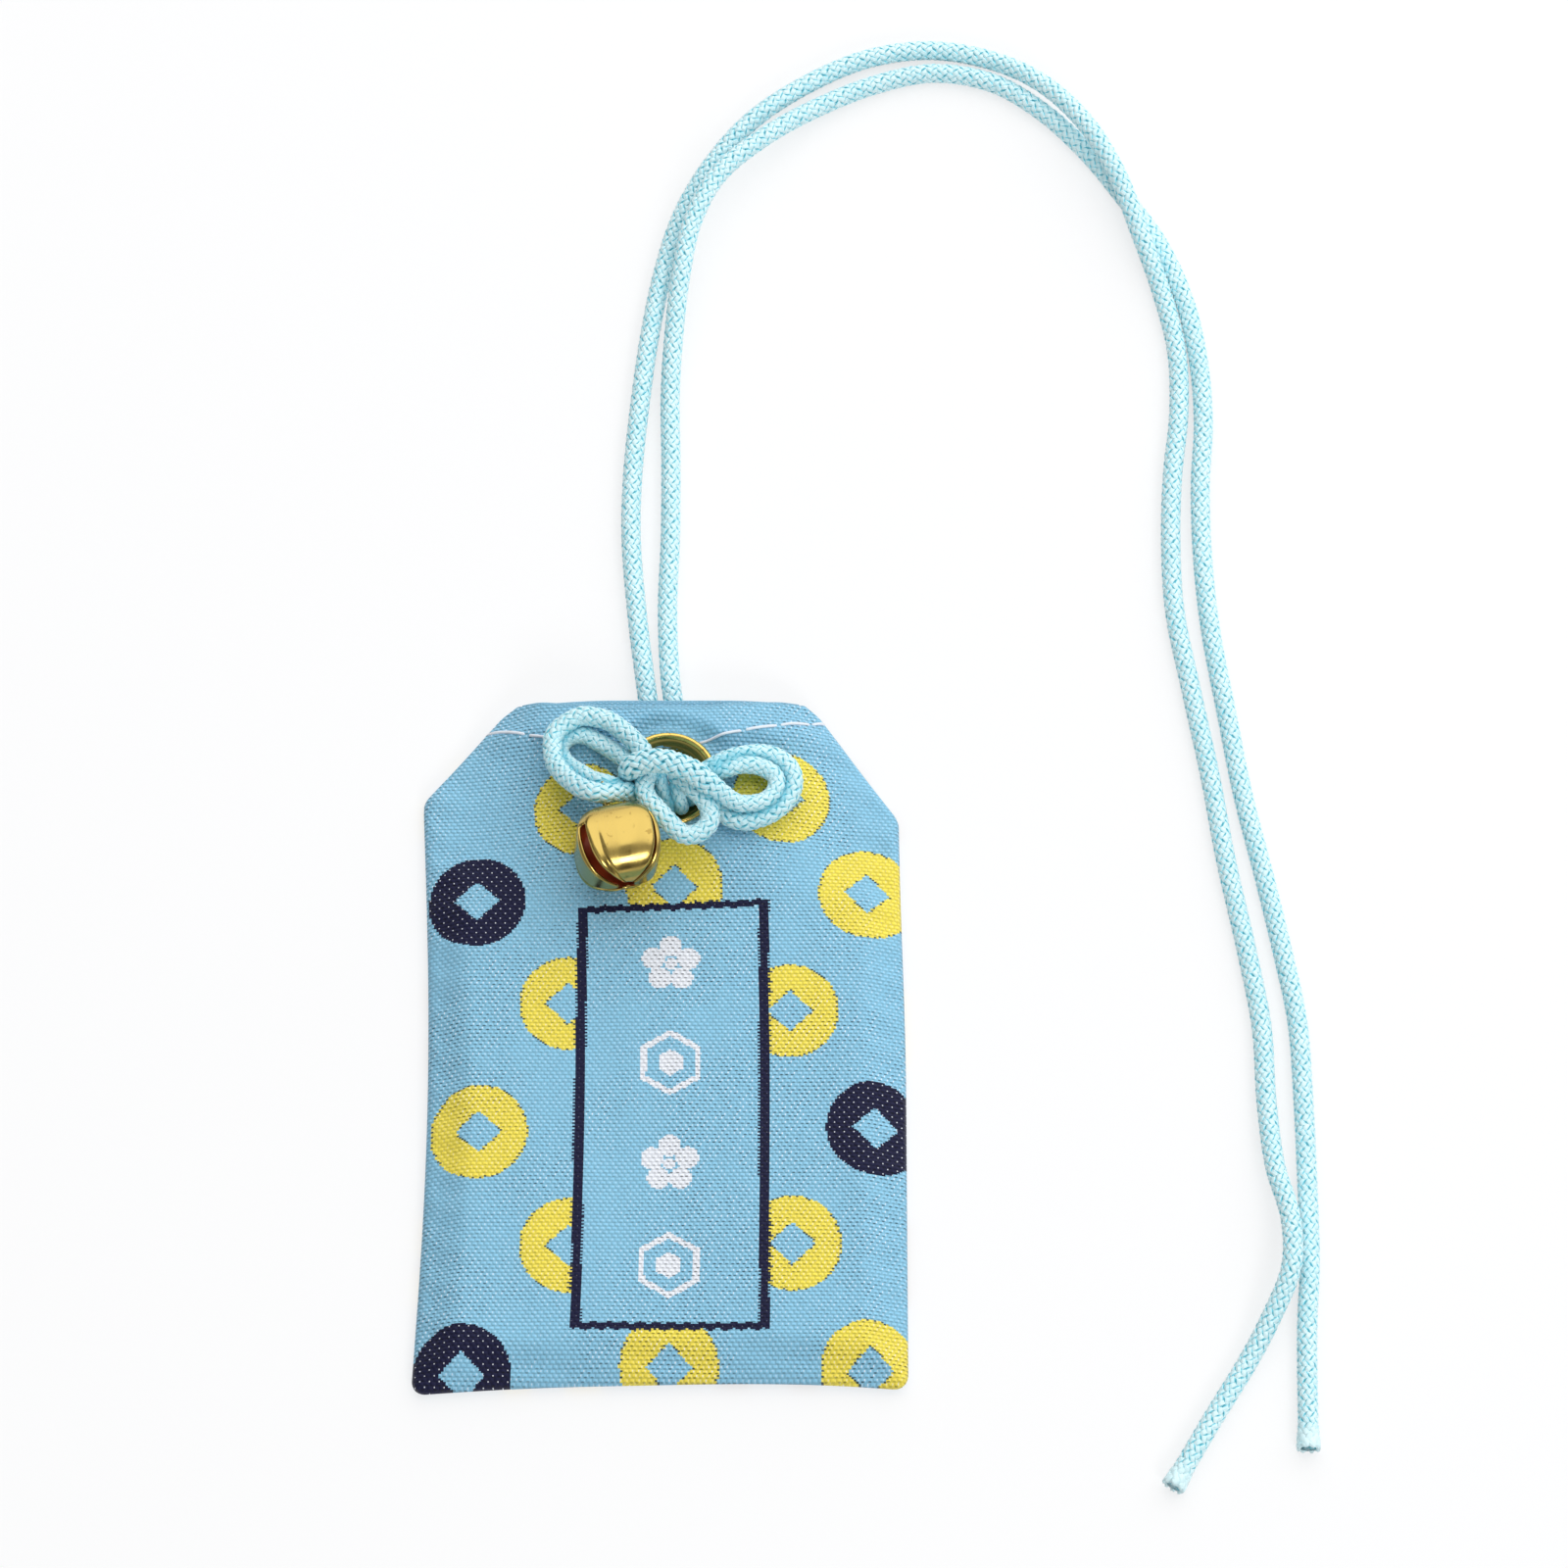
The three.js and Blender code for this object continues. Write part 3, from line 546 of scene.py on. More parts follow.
def in_scene(name, data):
    """A new object, put in the scene."""
    made = bpy.data.objects.new(name, data)
    scene.collection.objects.link(made)
    return made


def new_object(name, points, faces, material):
    """A mesh object made from points in millimetres."""
    mesh = bpy.data.meshes.new(name)
    mesh.from_pydata((np.asarray(points) * MM).tolist(), [], faces)
    mesh.validate()
    mesh.shade_smooth()
    mesh.materials.append(material)
    return in_scene(name, mesh)


def point_numbers(piece, name, values):
    """Keeps three numbers at each point of a mesh, for its material to read."""
    layer = piece.data.attributes.new(name, "FLOAT_VECTOR", "POINT")
    layer.data.foreach_set("vector", np.asarray(values, np.float32).ravel())


def place_piece(piece, body, node):
    """Puts a piece on its body, in place of a node."""
    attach(piece, body)
    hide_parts(node)


class Nodes:
    """Short ways to add nodes to a material or to the world."""

    def __init__(self, owner):
        owner.use_nodes = True
        self.tree = owner.node_tree

    def set(self, node, key, value):
        """Gives an input a value, or links an output to it."""
        if isinstance(value, bpy.types.NodeSocket):
            self.tree.links.new(value, node.inputs[key])
        else:
            node.inputs[key].default_value = value

    def node(self, kind, inputs, **settings):
        """A new node with its settings and inputs."""
        node = self.tree.nodes.new("ShaderNode" + kind)
        for key, value in settings.items():
            setattr(node, key, value)
        for key, value in inputs.items():
            self.set(node, key, value)
        return node

    def maths(self, operation, *values):
        """One step of arithmetic."""
        return self.node("Math", dict(enumerate(values)), operation=operation).outputs[0]

    def times(self, first, second):
        """A product."""
        return self.maths("MULTIPLY", first, second)

    def plus(self, first, second):
        """A sum."""
        return self.maths("ADD", first, second)

    def minus(self, first, second):
        """A difference."""
        return self.maths("SUBTRACT", first, second)

    def mix(self, share, first, second):
        """A colour between two others."""
        return self.node("Mix", {0: share, 6: first, 7: second}, data_type="RGBA").outputs[2]

    def step(self, value, start, end, low=0.0, high=1.0):
        """A soft step between two values."""
        inputs = {"Value": value, "From Min": start, "From Max": end, "To Min": low, "To Max": high}
        return self.node("MapRange", inputs, interpolation_type="SMOOTHSTEP").outputs[0]

    def bricks(self, x, y, width, height):
        """Column and row in a pattern whose rows are staggered by half a cell."""
        row = self.maths("DIVIDE", y, height)
        stagger = self.times(self.maths("FLOOR", row), 0.5)
        return self.plus(self.maths("DIVIDE", x, width), stagger), row

    def spot(self, across, up, middle, size):
        """A soft spot in each cell of the weave, at a share of it, with a size in millimetres."""
        nearest = self.maths("WRAP", self.minus(across, middle[0]), 0.5, -0.5)
        off_x = self.times(nearest, GRAIN_WIDTH / size[0])
        off_y = self.times(self.minus(up, middle[1]), GRAIN_HEIGHT / size[1])
        off = self.plus(self.maths("POWER", off_x, 2.0), self.maths("POWER", off_y, 2.0))
        return self.step(off, *SPOT_EDGE, 1.0, 0.0)

    def kept(self, name):
        """Numbers that the mesh keeps under a name."""
        return self.node("Attribute", {}, attribute_name=name).outputs

    def split(self, vector):
        """The three parts of a vector."""
        return self.node("SeparateXYZ", {0: vector}).outputs

    def noise(self, scale, detail=2.0, stretch=(1, 1, 1)):
        """Noise in the object's own space, drawn out along its axes."""
        place = self.node("TexCoord", {}).outputs["Object"]
        scaled = self.node("VectorMath", {0: place, 1: stretch}, operation="MULTIPLY").outputs[0]
        return self.node("TexNoise", {"Vector": scaled, "Scale": scale, "Detail": detail}).outputs[0]


class Look(Nodes):
    """A material."""

    def __init__(self, name, colour=None, roughness=0.5, metallic=0.0, sheen=0.0):
        self.material = bpy.data.materials.new(name)
        super().__init__(self.material)
        self.surface = self.tree.nodes["Principled BSDF"]
        self.set(self.surface, "Roughness", roughness)
        self.set(self.surface, "Metallic", metallic)
        self.set(self.surface, "Sheen Weight", sheen)
        if colour is not None:
            self.set(self.surface, "Base Color", linear(colour))

    def bump(self, height, depth, strength):
        """Fine relief, with its depth in millimetres."""
        inputs = {"Height": height, "Distance": depth * MM, "Strength": strength}
        self.set(self.surface, "Normal", self.node("Bump", inputs).outputs[0])


def brocade_look():
    """Woven cloth: staggered floats with painted shade at their edges and painted highlight in their
    middles, painted shade in small ticks, and fine white dots where the figure asks for them.
    """
    look = Look("brocade", roughness=0.65, sheen=0.05)
    look.set(look.surface, "Specular IOR Level", 0.25)
    tint = look.kept("tint")
    x, y, _ = look.split(look.kept("flat")["Vector"])
    column, row = look.bricks(x, y, GRAIN_WIDTH, GRAIN_HEIGHT)
    cell_x = look.maths("FRACT", column)
    cell_y = look.maths("FRACT", row)
    wave_x = look.maths("SINE", look.times(cell_x, math.pi))
    wave_y = look.maths("SINE", look.times(cell_y, math.pi))
    grain = look.times(wave_x, wave_y)
    cell = look.node("CombineXYZ", {0: look.maths("FLOOR", column), 1: look.maths("FLOOR", row)}).outputs[0]
    chances = look.node("TexWhiteNoise", {"Vector": cell}, noise_dimensions="2D").outputs
    chance, other_chance, _ = look.split(chances["Color"])
    moved = look.plus(cell_x, look.step(other_chance, 0.0, 1.0, -SPOT_MOVE, SPOT_MOVE))
    tick = look.spot(moved, cell_y, TICK_PLACE, TICK_SIZE)
    patchy = look.step(look.noise(PATCH_NOISE), 0.35, 0.62, 0.35, 1.3)
    tick = look.times(tick, look.step(chance, 0.0, 0.9, 0.4, 1.0))
    tick = look.times(tick, patchy)
    # Painted shade and highlight of the floats, less the painted shade of the ticks
    shade = look.minus(look.step(grain, 0.0, 0.7, *GRAIN_SHADE), look.times(tick, TICK_SHADE))
    shaded = look.node("VectorMath", {0: tint["Color"], 3: shade}, operation="SCALE").outputs[0]
    fleck = look.spot(moved, cell_y, FLECK_PLACE, FLECK_SIZE)
    fleck = look.times(fleck, look.step(other_chance, 0.2, 1.0, 0.1, 0.75))
    fleck = look.times(fleck, patchy)
    fleck = look.times(fleck, look.step(look.split(tint["Color"])[1], 0.05, 0.3))
    flecked = look.mix(fleck, shaded, linear(WHITE))
    dot_column, dot_row = look.bricks(x, y, DOT_SPACING, DOT_ROW)
    off_x = look.times(look.minus(look.maths("FRACT", dot_column), 0.5), DOT_SPACING)
    off_y = look.times(look.minus(look.maths("FRACT", dot_row), 0.5), DOT_ROW)
    off = look.maths("SQRT", look.plus(look.maths("POWER", off_x, 2.0), look.maths("POWER", off_y, 2.0)))
    dot = look.step(off, *DOT_EDGE, 1.0, 0.0)
    dot = look.times(dot, tint["Alpha"])
    look.set(look.surface, "Base Color", look.mix(dot, flecked, linear(WHITE)))
    look.bump(look.plus(grain, look.times(dot, 0.5)), GRAIN_DEPTH, 0.8)
    return look.material


def cord_look():
    """Braided cord: pale yarns with fine filaments, with painted shade between the yarns and at their
    edges, and painted shade in the creases beside other strands.
    """
    look = Look("cord", roughness=0.32, sheen=0.1)
    across, crease_shade, depth = look.split(look.kept("yarn")["Vector"])
    filament = look.maths("SINE", look.times(across, FILAMENT_TURNS))
    # Painted shade: yarn edges and yarns that run under others take the darker colour
    middle = look.step(look.maths("ABSOLUTE", across), 0.55, 0.9, 1.0, 0.0)
    height = look.step(depth, 0.2, 0.6)
    pale = look.times(middle, height)
    variety = look.step(look.noise(CORD_NOISE), 0.3, 0.7, 0.82, 1.0)
    colour = look.mix(look.times(pale, variety), linear(CORD_GAP_SHADE), linear(CORD_PALE))
    # Painted shade in the creases beside other strands
    look.set(look.surface, "Base Color", look.mix(crease_shade, colour, linear(CORD_SHADOW)))
    look.bump(filament, FILAMENT_DEPTH, 0.6)
    return look.material


def thread_look(name, colour):
    """Spun sewing thread."""
    look = Look(name, colour, roughness=0.75, sheen=0.2)
    look.bump(look.noise(THREAD_NOISE, 1), THREAD_DEPTH, 0.5)
    return look.material


def brass_look(name, colour, scratches):
    """Polished brass with fine scratches and a little dark speckle."""
    look = Look(name, metallic=1.0)
    lines = look.noise(SCRATCH_NOISE, 3, SCRATCH_STRETCH)
    speckle = look.step(look.noise(SPECKLE_NOISE, 3), 0.62, 0.7, 0.0, 0.45)
    look.set(look.surface, "Base Color", look.mix(speckle, linear(colour), linear(BRASS_DARK)))
    look.set(look.surface, "Roughness", look.step(lines, 0.35, 0.7, *BRASS_ROUGHNESS))
    look.bump(lines, scratches, 0.5)
    return look.material


def plain_look(name, colour, roughness, metallic=0.0):
    """A plain surface with a slight grain."""
    look = Look(name, colour, roughness, metallic)
    look.bump(look.noise(PLAIN_NOISE, 3), PLAIN_DEPTH, 0.5)
    return look.material


brocade = brocade_look()
cord = cord_look()
white_thread = thread_look("white_thread", WHITE)
seam_thread = thread_look("seam_thread", SEAM_BLUE)
brass = brass_look("brass", BRASS, EYELET_SCRATCH)
bell_brass = brass_look("bell_brass", BELL_GOLD, BELL_SCRATCH)
# Painted reflection inside the bell, as a plain red-brown
bell_inside_reflection = plain_look("bell_inside_reflection", BELL_INSIDE_REFLECTION, 0.45)
eyelet_throat_shade = plain_look("eyelet_throat_shade", EYELET_THROAT_SHADE, 0.4, 1.0)
steel = plain_look("steel", STEEL, 0.3, 1.0)
card = plain_look("card", CARD, 0.85)
paper = plain_look("paper", PAPER, 0.8)


def soft_least(first, second, blend):
    """The lesser of two values, with a soft change from one to the other."""
    share = np.clip(0.5 + (second - first) / (2 * blend), 0, 1)
    return second + (first - second) * share - blend * share * (1 - share)


def side_x(y, sign):
    """The pouch's edge at a height: sign is -1 for the left side and 1 for the right."""
    span = (y - BOTTOM_EDGE) / (SHOULDER_Y - BOTTOM_EDGE)
    if sign < 0:
        straight = LEFT_SIDE - LEFT_PULL * np.sin(math.pi * np.clip(span, 0, 1))
        cut = LEFT_SIDE - LEFT_CUT * (y - LEFT_SHOULDER)
    else:
        straight = RIGHT_SIDE + RIGHT_SWELL * smooth((SHOULDER_Y - y) / SWELL_REACH)
        cut = RIGHT_SIDE - RIGHT_CUT * (y - RIGHT_SHOULDER)
    return sign * soft_least(straight, cut, SHOULDER_BLEND)


def back_lift(x, y):
    """How far the back cloth is lifted over the cord that runs under it."""
    lift = rise(y, LIFT_START, LIFT_FULL - LIFT_START)
    fall = rise(y, FALL_START, TOP_EDGE - FALL_START)
    crown = 1 - rise(np.abs(x - EYELET[0]), LIFT_FLAT, LIFT_REACH)
    return (EYELET_LIFT * lift + (MOUTH_LIFT - EYELET_LIFT) * fall) * crown


def cloth_gap(x, y, from_edge):
    """Clear height between the two cloths."""
    neck = rise(y, LIFT_START, LIFT_FULL - LIFT_START)
    mouth = rise(y, MOUTH_START, MOUTH_REACH)
    pocket = POCKET_GAP + (NECK_GAP - POCKET_GAP) * neck + (MOUTH_GAP - NECK_GAP) * mouth
    freed = rise(distance(x, y, EYELET), LIFT_FLAT, CLAMP_REACH)
    return SEAM_GAP + (pocket - SEAM_GAP) * freed * smooth(from_edge / EDGE_SLOPE)


def wave(x, y, shape):
    """Height of a long wave in the cloth at a place."""
    height, turn_x, turn_y, start = shape
    return height * np.sin(turn_x * x + turn_y * y + start)


def creases(x, y, from_edge):
    """Slight unevenness of the cloth, soft puckers round the eyelet and a ripple beside the seams."""
    uneven = wave(x, y, CLOTH_WAVES[0]) + wave(x, y, CLOTH_WAVES[1])
    uneven = uneven + wave(x, y, CROSSED_WAVES[0]) * wave(x, y, CROSSED_WAVES[1])
    away = distance(x, y, EYELET)
    bearing = np.arctan2(y - EYELET[1], x - EYELET[0])
    pucker = PUCKER_HEIGHT * np.cos(PUCKER_COUNT * bearing + PUCKER_TURN)
    pucker = pucker * rise(away, *PUCKER_RISE) * (1 - rise(away, *PUCKER_FALL))
    seam = wave(x, y, SEAM_WAVE) * rise(from_edge, 0, SEAM_WAVE_RISE)
    seam = seam * (1 - rise(from_edge, *SEAM_WAVE_FALL))
    calm = rise(away, PUCKER_RISE[0], CALM_REACH)
    return (uneven * calm + pucker) * rise(from_edge, 0, CALM_REACH) + seam


def round_corner(from_side, from_end, radius):
    """How far a point moves in from the side and from the end, to round a corner."""
    side = np.clip(1 - from_side / radius, 0, 1)
    end = np.clip(1 - from_end / radius, 0, 1)
    move_side = radius * side * (1 - np.sqrt(1 - end**2 / 2))
    move_end = radius * end * (1 - np.sqrt(1 - side**2 / 2))
    return move_side, move_end


def flat_grid(columns, rows, top):
    """Places of one cloth's points, and how far each is from the cloth's edge."""
    share = np.linspace(0, 1, columns + 1)[None, :]
    level = np.linspace(BOTTOM_EDGE, top, rows + 1)[:, None]
    corner = (MOUTH_CORNER - top) * (2 * share - 1) ** 2
    y = level + corner * rise(level, SHOULDER_Y, top - SHOULDER_Y)
    left = side_x(y, -1)
    right = side_x(y, 1)
    x = left + (right - left) * share
    from_side = np.minimum(x - left, right - x)
    from_bottom = y - BOTTOM_EDGE
    from_edge = np.minimum(from_side, from_bottom)
    low_side, low_end = round_corner(from_side, from_bottom, CORNER_ROUND)
    mouth_side, mouth_end = round_corner(from_side, top - level, MOUTH_ROUND)
    pull = BOTTOM_PULL * (1 - (x / LEFT_SIDE) ** 2)
    pull = pull + RIGHT_CORNER_LIFT * rise(x, CORNER_LIFT_START, CORNER_LIFT_REACH)
    pull = pull * (1 - smooth(from_bottom / BOTTOM_PULL_REACH))
    return x - np.sign(x) * (low_side + mouth_side), y + low_end - mouth_end + pull, from_edge


def edge_round(from_edge):
    """Height of a rounded edge, from 0 at the edge to 1 where the cloth is flat."""
    inward = np.clip(1 - from_edge / EDGE_ROUND, 0, 1)
    return np.sqrt(1 - inward**2)


def front_height(x, y, from_edge):
    """Height of the outer face of the front cloth."""
    seam = back_lift(x, y) + SEAM_LEVEL
    top = back_lift(x, y) + 2 * CLOTH + cloth_gap(x, y, from_edge) + creases(x, y, from_edge)
    return seam + (top - seam) * edge_round(from_edge)


def back_height(x, y, from_edge):
    """Height of the outer face of the back cloth, which is its underside."""
    return back_lift(x, y) + SEAM_LEVEL * (1 - edge_round(from_edge))


def with_hem(x, y, z, fold):
    """A grid of points with its turned-in hem along the mouth. fold is the hem's radius, up or down."""
    edge_x, edge_y, edge_z = x[-1], y[-1], z[-1]
    from_end = np.minimum(edge_x - edge_x[0], edge_x[-1] - edge_x)
    inward = HEM_END + (1 - HEM_END) * smooth(from_end / HEM_END_REACH)
    rows = [np.dstack([x, y, z])]
    for i in range(1, HEM_FOLD_ROWS + 1):
        turn = math.pi * i / HEM_FOLD_ROWS
        out = inward * abs(fold) * math.sin(turn)
        drop = inward * fold * (1 - math.cos(turn))
        rows.append(np.dstack([edge_x, edge_y + out, edge_z + drop]))
    for i in range(1, HEM_ROWS + 1):
        back = inward * HEM_DEPTH * i / HEM_ROWS
        rows.append(np.dstack([edge_x, edge_y - back, edge_z + 2 * fold * inward]))
    return np.vstack(rows)


def coin(x, y, middle):
    """Where a coin with its square hole is."""
    inside = distance(x, y, middle) < COIN_RADIUS
    hole = np.abs(x - middle[0]) / COIN_HOLE[0] + np.abs(y - middle[1]) / COIN_HOLE[1] < 1
    return inside & ~hole


def blossom(x, y, middle):
    """Where a five-petalled blossom is."""
    heart = distance(x, y, middle) < BLOSSOM_HEART
    petals = np.zeros(x.shape, bool)
    for i in range(5):
        bearing = math.pi / 2 + i * 2 * math.pi / 5
        petal_x = middle[0] + BLOSSOM_REACH * math.cos(bearing)
        petal_y = middle[1] + BLOSSOM_REACH * math.sin(bearing)
        petals |= distance(x, y, (petal_x, petal_y)) < BLOSSOM_PETAL
    return petals | heart


def hexagon(x, y, middle):
    """Where a tortoise-shell hexagon is."""
    across = np.abs(x - middle[0])
    up = np.abs(y - middle[1])
    size = np.maximum(across, across / 2 + up * math.sqrt(3) / 2)
    return (size < HEXAGON_HEART) | ((size < HEXAGON_SIZE) & (size > HEXAGON_SIZE - HEXAGON_LINE))


def edge_of(figure):
    """Cells of a figure that have a cell outside it beside them."""
    wide = np.pad(figure, 1, mode="edge")
    return figure & ~(wide[2:, 1:-1] & wide[:-2, 1:-1] & wide[1:-1, 2:] & wide[1:-1, :-2])


def paint(x, y, coins, panel):
    """Colour of each step of the weave, and in the fourth number how strong its white dots are."""
    tint = np.zeros((*x.shape, 4))
    tint[:] = (*linear(BLUE)[:3], BLUE_DOTS)
    yellow = np.any([coin(x, y, middle) for middle in coins["yellow"]], axis=0)
    navy = np.any([coin(x, y, middle) for middle in coins["navy"]], axis=0)
    white = np.zeros(x.shape, bool)
    border = np.zeros(x.shape, bool)
    if panel:
        share = (y - PANEL_BOTTOM) / (PANEL_TOP[0] - PANEL_BOTTOM)
        tooth = BORDER_TOOTH * np.sign(np.sin(2 * math.pi * y / PICK))
        left = x - (PANEL_LEFT[1] + (PANEL_LEFT[0] - PANEL_LEFT[1]) * share)
        right = PANEL_RIGHT[1] + (PANEL_RIGHT[0] - PANEL_RIGHT[1]) * share - x
        along = (x - PANEL_LEFT[0]) / (PANEL_RIGHT[0] - PANEL_LEFT[0])
        waver = BORDER_WAVE * np.sin(2 * math.pi * x / BORDER_WAVE_LENGTH)
        top = PANEL_TOP[0] + (PANEL_TOP[1] - PANEL_TOP[0]) * along - y + waver
        bottom = y - PANEL_BOTTOM + waver
        sides = np.minimum(left, right) + tooth
        inside = np.minimum(sides, np.minimum(top, bottom))
        yellow &= inside < 0
        navy &= inside < 0
        border = (inside >= 0) & ((sides < SIDE_BORDER) | (np.minimum(top, bottom) < END_BORDER))
        for i, middle_y in enumerate(MOTIF_Y):
            motif = blossom if i % 2 == 0 else hexagon
            white |= motif(x, y, (MOTIF_X, middle_y))
    rows, columns = np.indices(x.shape)
    edges = edge_of(yellow) & ((rows + columns) % EDGE_STEP == 0)
    layers = (
        (yellow, YELLOW, YELLOW_DOTS),
        (edges, COIN_EDGE, 0),
        (navy, NAVY, NAVY_DOTS),
        (border, NAVY, BORDER_DOTS),
        (white, WHITE, 0),
    )
    for where, colour, dots in layers:
        tint[where] = (*linear(colour)[:3], dots)
    spread = np.random.default_rng(TINT_SEED).normal(1, TINT_SPREAD, x.shape)
    tint[..., :3] *= spread[..., None]
    return tint


def middles(values):
    """The middle of each cell of a grid of values."""
    return (values[:-1, :-1] + values[1:, :-1] + values[:-1, 1:] + values[1:, 1:]) / 4


def make_cloth(name, columns, rows, top, front):
    """The front or the back cloth with its hem and colours, and its thickness on the inner side."""
    x, y, from_edge = flat_grid(columns, rows, top)
    z = front_height(x, y, from_edge) if front else back_height(x, y, from_edge)
    points = with_hem(x, y, z, -HEM_FOLD if front else HEM_FOLD)
    extra = points.shape[0] - x.shape[0]
    turned = np.cumsum(np.full((extra, x.shape[1]), GRAIN_HEIGHT), axis=0)
    flat_x = np.vstack([x, np.repeat(x[-1:], extra, axis=0)])
    flat_y = np.vstack([y, y[-1:] + turned])
    cell_x = middles(flat_x)
    cell_y = middles(flat_y)
    keep = distance(cell_x, cell_y, EYELET) > CLOTH_HOLE
    from_end = np.minimum(cell_x - cell_x[:, :1], cell_x[:, -1:] - cell_x)
    keep[x.shape[0] - 1:] &= from_end[x.shape[0] - 1:] > HEM_SKIP
    tint = paint(cell_x, cell_y, FRONT_COINS if front else back_coins(), front)
    cells = quads(grid(*flat_x.shape))[:, OTHER_WAY][keep.ravel()]
    if not front:
        cells = cells[:, ::-1]
    used, cells = np.unique(cells, return_inverse=True)
    piece = new_object(name, points.reshape(-1, 3)[used], cells.reshape(-1, 4).tolist(), brocade)
    flat = np.dstack([flat_x, flat_y, np.zeros_like(flat_x)])
    point_numbers(piece, "flat", flat.reshape(-1, 3)[used])
    layer = piece.data.attributes.new("tint", "FLOAT_COLOR", "FACE")
    layer.data.foreach_set("color", tint[keep].astype(np.float32).ravel())
    solid = piece.modifiers.new("thickness", "SOLIDIFY")
    solid.thickness = SHEET_THICKNESS * MM
    solid.offset = -1
    return piece


def back_coins():
    """Places of the coins on the back cloth, in staggered rows."""
    found = {"yellow": [], "navy": []}
    for row in BACK_COIN_ROWS:
        for column in BACK_COIN_COLUMNS:
            x = (column + 0.5 * (row % 2)) * BACK_COIN_SPACING[0]
            y = BACK_COIN_START + row * BACK_COIN_SPACING[1] / 2
            kind = "navy" if (row + 3 * column) % 4 == 1 else "yellow"
            found[kind].append((x, y))
    return found


front_cloth = make_cloth("front_cloth", FRONT_COLUMNS, FRONT_ROWS, FRONT_TOP, True)
back_cloth = make_cloth("back_cloth", BACK_COLUMNS, BACK_ROWS, BACK_TOP, False)
place_piece(front_cloth, "pouch", "front_panel")
place_piece(back_cloth, "pouch", "back_panel")


def hem_stitches(name, node, line, height, side):
    """A row of running stitches along a line, each rising a little over the cloth."""
    path = spline([(x, y, 0) for x, y in line], STITCH_STEP)
    reach = reaches(path)
    share = np.linspace(0, 1, STITCH_POINTS)
    arch = np.sin(math.pi * share) ** STITCH_ROUND * STITCH_RISE - STITCH_SINK
    up = np.tile((0.0, 0.0, 1.0), (STITCH_POINTS, 1))
    stitches = []
    start = 0.0
    while start + STITCH_LEAST < reach[-1]:
        swing = math.sin(STITCH_SWING[0] * len(stitches) + STITCH_SWING[1])
        length = STITCH_LENGTH * (1 + STITCH_SPREAD * swing)
        end = min(start + length, reach[-1])
        at = start + (end - start) * share
        x = np.interp(at, reach, path[:, 0])
        y = np.interp(at, reach, path[:, 1])
        if distance(x, y, EYELET).min() < EYELET_RADIUS:
            start += STITCH_GAP
            continue
        start = end + STITCH_GAP
        from_side = np.maximum(np.minimum(x - side_x(y, -1), side_x(y, 1) - x), 0)
        stitch = np.stack([x, y, height(x, y, from_side) + side * arch], axis=1)
        stitches.append(tube(stitch, up, THREAD_DIAMETER / 2, THREAD_DIAMETER / 2, THREAD_SIDES))
    place_piece(new_object(name, *joined(stitches), white_thread), "pouch", node)


hem_stitches("hem_stitches_front", "front_hem_stitch", HEM_STITCH_LINE, front_height, 1)
back_line = [(x * BACK_STITCH_SHARE, y - BACK_STITCH_DROP) for x, y in HEM_STITCH_LINE]
hem_stitches("hem_stitches_back", "back_hem_stitch", back_line, back_height, -1)


def make_eyelet():
    """The eyelet: a ring turned from its section, with painted shade in its throat."""
    turn = np.linspace(0, 2 * math.pi, EYELET_SIDES, endpoint=False)[:, None]
    radius, height = np.array(EYELET_PROFILE).T
    x = EYELET[0] + radius * np.cos(turn)
    y = EYELET[1] + radius * np.sin(turn)
    points = np.dstack([x, y, np.broadcast_to(height, x.shape)]).reshape(-1, 3)
    closed = np.pad(grid(EYELET_SIDES, len(EYELET_PROFILE)), (0, 1), mode="wrap")
    piece = new_object("eyelet_ring", points, quads(closed).tolist(), brass)
    piece.data.materials.append(eyelet_throat_shade)
    # Faces in the throat take the painted shade
    for face in piece.data.polygons:
        if distance(face.center.x / MM, face.center.y / MM, EYELET) < THROAT_RADIUS:
            face.material_index = 1
    return piece


place_piece(make_eyelet(), "pouch", "eyelet")


def painted_shade_near(points, others):
    """Painted crease shade at each point: none on a lone strand, BOW_SHADE all over the bow, rising to
    DEEP_SHADE beside another strand.
    """
    if others is None:
        return np.zeros(len(points))
    apart = norm(points[:, None] - others[None], axis=-1).min(axis=1) - CORD_DIAMETER / 2
    return BOW_SHADE + (DEEP_SHADE - BOW_SHADE) * (1 - smooth(apart / SHADE_REACH))


